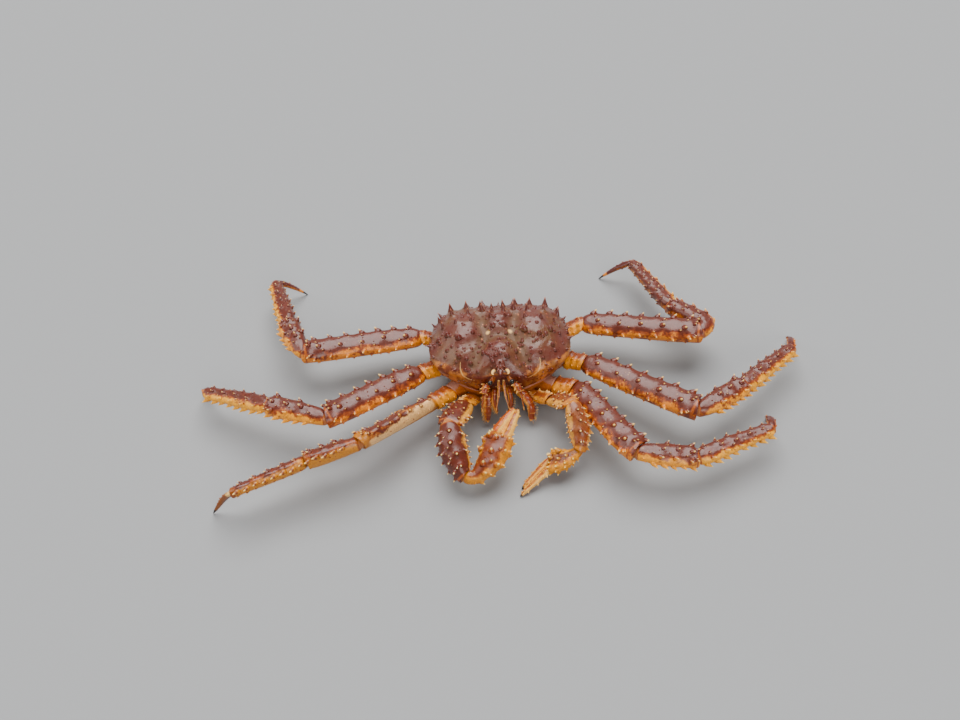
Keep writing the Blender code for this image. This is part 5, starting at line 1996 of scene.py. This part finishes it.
@dataclass
class TailFlap:
    """The tail flap, folded under the body, with its plates."""

    plates: int = 6
    knobs: int = 120

    def seams(self, run: Run, points: np.ndarray) -> np.ndarray:
        """How near each point is to a seam between the flap's plates, from 0 to 1.

        Args:
            run: the flap's run.
            points: rows of x, y, z.

        Returns:
            One number for each point.
        """
        along, _ = run.measure(points)
        width = np.array([profile(TAIL_WIDTHS, min(max(t, 0), 1))[0] for t in along])
        across = np.abs(points[:, 0] - BODY_AT.x) / width
        seams = np.exp(-((((along * self.plates) % 1) - 0.5) / 0.07) ** 2)
        for middle in (0.3, 0.66):
            seams = np.maximum(seams, 0.9 * np.exp(-((across - middle) / 0.05) ** 2))
        return seams

    def build(self) -> None:
        """Builds and dresses the flap."""
        radius = (TAIL_ROOT.z - (TAIL_THICKNESS / 2 - 0.1)) / 2
        centre, turns = TAIL_ROOT + Vector((0, 2, -radius)), np.linspace(0, math.pi, 9)
        path = [TAIL_ROOT, *(centre + Vector((0, math.sin(a), math.cos(a))) * radius
                             for a in turns)]
        last = path[-1]
        path += [last.lerp(Vector((0, TAIL_END, last.z)), k / 7) for k in range(1, 8)]
        run = Run([p + BODY_AT for p in path], TAIL_WIDTHS, UP, None, None)
        rings = []
        for k in range(49):
            t = k / 48
            width, thickness = profile(TAIL_WIDTHS, t)
            seam = 1 - 0.07 * math.exp(-(((t * self.plates) % 1 - 0.5) / 0.08) ** 2)
            tangent = run.tangent(t)
            basis = Matrix((ACROSS, tangent.cross(ACROSS), tangent)).transposed()
            rings.append(Station(run.centre(t), basis, width * seam, 0.97 * thickness * seam))
        obj = loft("tail_flap_shell", rings, 32)
        Bench.subdivide(obj, 1)
        Bench.push(obj, -1.2 * MM * self.seams(run, Bench.points(obj)), "NORMAL")
        Bench.lumps(obj, 5, 1.1)
        dice = random.Random(9)
        knobs = []
        for _ in range(self.knobs):
            t, u = dice.uniform(0.01, 0.9), dice.uniform(-0.85, 0.85)
            size = dice.uniform(1.0, 2.4)
            out_way = run.station(t, 1, 1).basis.col[1]
            aim = run.centre(t) + Vector((u * profile(TAIL_WIDTHS, t)[0], 0, 0)) + out_way * 6
            knobs.append(Seat(ThornKind.KNOB, aim, out_way, UP, 0.9 * size, 0.6 * size,
                              settle=1.0))
        Bench.join(obj, Thorns.plant(obj, knobs))
        points = Bench.points(obj)
        Bench.marks(obj, along=np.full(len(points), 0.5),
                    up=smooth((points[:, 1] - 70) / 18) * 1.4 - 0.7,
                    edge=1.2 * self.seams(run, points), tip=Bench.read(obj, "tip"))
        Bench.finish(obj, FLAP.material(), Slot.BELLY, "tail_flap")


EYE = [(9.5, -62, 68), (11.5, -67, 68.5), (13, -70.5, 69.5)]
FEELER = [(18, -61.5, 54), (20, -66, 53.5), (23, -72, 49), (25.5, -79, 41), (27, -86, 30)]
SMALL_FEELER = [(3.2, -61.5, 60), (3.4, -67, 56), (4.4, -74, 48), (6.4, -81, 41), (8.5, -88, 34)]
JAWS = {
    "left": [(20, -57.5, 36), (26, -64, 37), (33, -73, 32), (36, -79, 23), (35, -86, 9)],
    "right": [(-17, -57.5, 36), (-18, -64, 38), (-18.5, -71, 33), (-19.5, -78, 24),
              (-20.5, -84, 10)],
}
PALP = [(8, -58, 44), (9.5, -65, 43), (10.5, -72, 37), (9.5, -77, 29), (7, -80, 21)]
JAW_CUTS = (0.0, 0.28, 0.51, 0.77, 1.0)
FEELER_ROWS = [Spikes(0.05, 0.3, 3, 20, 3.4), Spikes(0.1, 0.3, 3, 160, 2.8),
               Spikes(0.05, 0.3, 3, 90, 2.8)]
EYE_RADIUS = 3.2
EYE_WIDTHS = [(0, 3.2, 3.2), (0.3, 2.6, 2.6), (0.7, 2.9, 2.9), (1, 3.3, 3.3)]
FEELER_WIDTHS = [
    (0, 4.2, 4), (0.12, 3.9, 3.7), (0.18, 3.0, 2.9), (0.3, 3.0, 2.9), (0.36, 2.0, 1.9),
    (0.4, 1.2, 1.2), (1, 0.5, 0.5),
]
SMALL_FEELER_WIDTHS = [
    (0, 2, 2), (0.22, 1.7, 1.7), (0.25, 1.4, 1.4), (0.5, 1.6, 1.6), (0.55, 1.1, 1.1),
    (1, 0.45, 0.45),
]
JAW_WIDTHS = [
    (0, 5.6, 5.2), (0.14, 6.4, 5.8), (0.27, 6.0, 5.6), (0.3, 4.8, 4.6), (0.38, 5.6, 5.2),
    (0.5, 5.2, 4.9), (0.53, 4.2, 4.0), (0.62, 4.9, 4.7), (0.76, 4.5, 4.3), (0.79, 3.6, 3.5),
    (0.86, 3.9, 3.7), (1, 1.6, 1.6),
]


@dataclass
class Face:
    """The eyes on their stalks, the feelers and the mouthparts."""

    def plate(self, name: str, points: list, widths: Table, finish: WetFinish, sides: int = 12,
              spacing: float = 2.5, grains: int = 0, **more: object) -> Plate:
        """A small limb through these points, ready to model.

        Args:
            name: the node that it stands for.
            points: its line, from the body's middle.
            widths: its table of widths.
            finish: its finish.
            sides: how many points a ring has.
            spacing: how far apart the rings are.
            grains: how many knobs it has.
            **more: the plate's other fields.

        Returns:
            The plate.
        """
        run = Run([Vector(p) + BODY_AT for p in points], widths, UP, None, None)
        return Plate(name, run, -1, finish, Slot.FEELERS, sides=sides, spacing=spacing,
                     grains=grains, neck=1.5, pointed=True, **more)

    def eye(self, label: str, points: list[Vector]) -> None:
        """The shining ball at the end of an eyestalk.

        Args:
            label: left or right.
            points: the stalk's points.
        """
        way = (points[2] - points[1]).normalized()
        centre = points[2] + BODY_AT + way * 1.8
        Bench.hold()
        bpy.ops.mesh.primitive_uv_sphere_add(segments=32, ring_count=20, radius=EYE_RADIUS * MM)
        obj = bpy.context.active_object
        obj.name = obj.data.name = f"{label}_eye_ball"
        Bench.edit()
        bpy.ops.transform.resize(value=(1, 1, 1.15))
        Bench.turn(way.to_track_quat("Z", "Y").to_matrix(), Vector())
        bpy.ops.transform.translate(value=centre * MM)
        Bench.leave()
        Bench.finish(obj, CORNEA.material(), Slot.CORNEA, f"{label}_eye")

    def build(self) -> None:
        """Builds and dresses the face."""
        for label, sense in (("left", 1), ("right", -1)):
            eye, feeler, small, palp = ([Vector((sense * x, y, z)) for x, y, z in line]
                                        for line in (EYE, FEELER, SMALL_FEELER, PALP))
            self.plate(f"{label}_eyestalk", eye, EYE_WIDTHS, STALK, spacing=1.5,
                       rows=[Spikes(0.3, 0.8, 2, 90, 2.0)]).build()
            self.eye(label, eye)
            self.plate(f"{label}_feeler", feeler, FEELER_WIDTHS, MOUTH, rows=FEELER_ROWS,
                       cuts=(0.0, 0.15, 0.34, 1.0)).build()
            self.plate(f"{label}_small_feeler", small, SMALL_FEELER_WIDTHS, MOUTH,
                       cuts=(0.0, 0.25, 0.53, 1.0)).build()
            inner = 180 if sense > 0 else 0
            hairs = [Spikes(0.2, 0.95, 26, inner + a, 5.0, 0.7, ThornKind.HAIR, 8.0, 0.05)
                     for a in (-20, 0, 20)]
            brush = [Spikes(0.4, 0.98, 18, inner + a, 4.0, 0.7, ThornKind.HAIR, 8.0, 0.05)
                     for a in (-15, 15)]
            inside = self.plate(f"{label}_palp", palp, scaled(JAW_WIDTHS, 0.62), MOUTH, 10, 2.2,
                                rows=brush, cuts=JAW_CUTS).model()
            self.plate(f"{label}_jaw", JAWS[label], JAW_WIDTHS, MOUTH, 14, 1.8, 10, rows=hairs,
                       cuts=JAW_CUTS).build([inside])


# (name, place, angle in degrees, power, colour) of the far lamps
LAMPS = [
    ("sky", (0.1, 0.9, 1.9), 58.0, 5.0, (1.0, 0.985, 0.96)),
    ("side", (-1.5, 0.2, 1.1), 40.0, 0.9, (1.0, 0.98, 0.95)),
    ("front", (0.6, -1.6, 1.2), 34.0, 1.5, (1.0, 0.97, 0.93)),
]
HORIZON = (0.6, 0.605, 0.61)
ZENITH = (0.17, 0.18, 0.195)


@dataclass
class Studio:
    """The camera, the lights and the floor."""

    lens: float = 36.375
    azimuth: float = 3.0
    elevation: float = 46.0
    roll: float = -5.6
    place: tuple = (0.0265, -0.8899, 0.970)

    def camera(self) -> None:
        """The camera at the photograph's viewing angle."""
        a, e, r = (math.radians(v) for v in (self.azimuth, self.elevation, self.roll))
        back = Vector((math.sin(a) * math.cos(e), -math.cos(a) * math.cos(e), math.sin(e)))
        right = (-back).cross(UP).normalized()
        up = right.cross(-back)
        axes = (right * math.cos(r) + up * math.sin(r), up * math.cos(r) - right * math.sin(r),
                back)
        data = bpy.data.cameras.new("camera")
        data.lens, data.sensor_width, data.clip_start = self.lens, 36.0, 0.05
        obj = bpy.data.objects.new("camera", data)
        bpy.context.scene.collection.objects.link(obj)
        obj.matrix_world = Matrix.Translation(self.place) @ Matrix(axes).transposed().to_4x4()
        bpy.context.scene.camera = obj

    def sun(self, name: str, place: tuple, angle: float, power: float, colour: Colour) -> None:
        """A broad, far lamp that shines from the side of this place.

        Args:
            name: its name.
            place: the side that it shines from.
            angle: how broad it is, in degrees.
            power: its power.
            colour: its colour.
        """
        data = bpy.data.lights.new(name, "SUN")
        data.angle, data.energy, data.color = math.radians(angle), power, colour
        obj = bpy.data.objects.new(name, data)
        bpy.context.scene.collection.objects.link(obj)
        obj.location = place
        obj.rotation_mode = "QUATERNION"
        obj.rotation_quaternion = Vector(place).to_track_quat("Z", "Y")

    def floor(self) -> None:
        """The pale floor."""
        Bench.hold()
        bpy.ops.mesh.primitive_plane_add(size=80, location=(0, 0, -0.0002))
        obj = bpy.context.active_object
        obj.name = "floor"
        obj.data.materials.append(FLOOR.material())

    def build(self) -> None:
        """Sets up the studio."""
        self.camera()
        self.floor()
        for lamp in LAMPS:
            self.sun(*lamp)
        world = bpy.data.worlds.new("studio")
        world.use_nodes = True
        bpy.context.scene.world = world
        graph = Graph(world.node_tree)
        way = graph.out(graph.add("ShaderNodeTexCoord"), "Generated")
        height = graph.out(graph.add("ShaderNodeSeparateXYZ", {"Vector": way}), "Z")
        shade = world.node_tree.nodes["Background"]
        graph.feed(shade.inputs["Color"],
                   graph.blend(graph.ramp(height, 0.02, 0.4), HORIZON, ZENITH))
        shade.inputs["Strength"].default_value = 1.0


def main() -> None:
    """Builds the whole crab and the studio round it."""
    logging.basicConfig(level=logging.INFO, format="%(message)s")
    Bench.hold()
    Studio().build()
    Carapace().build()
    Thorax().build()
    TailFlap().build()
    Face().build()
    for limb in LEGS + CLAWS:
        limb.build()
    Thorns.clear()


if __name__ == "__main__":
    main()
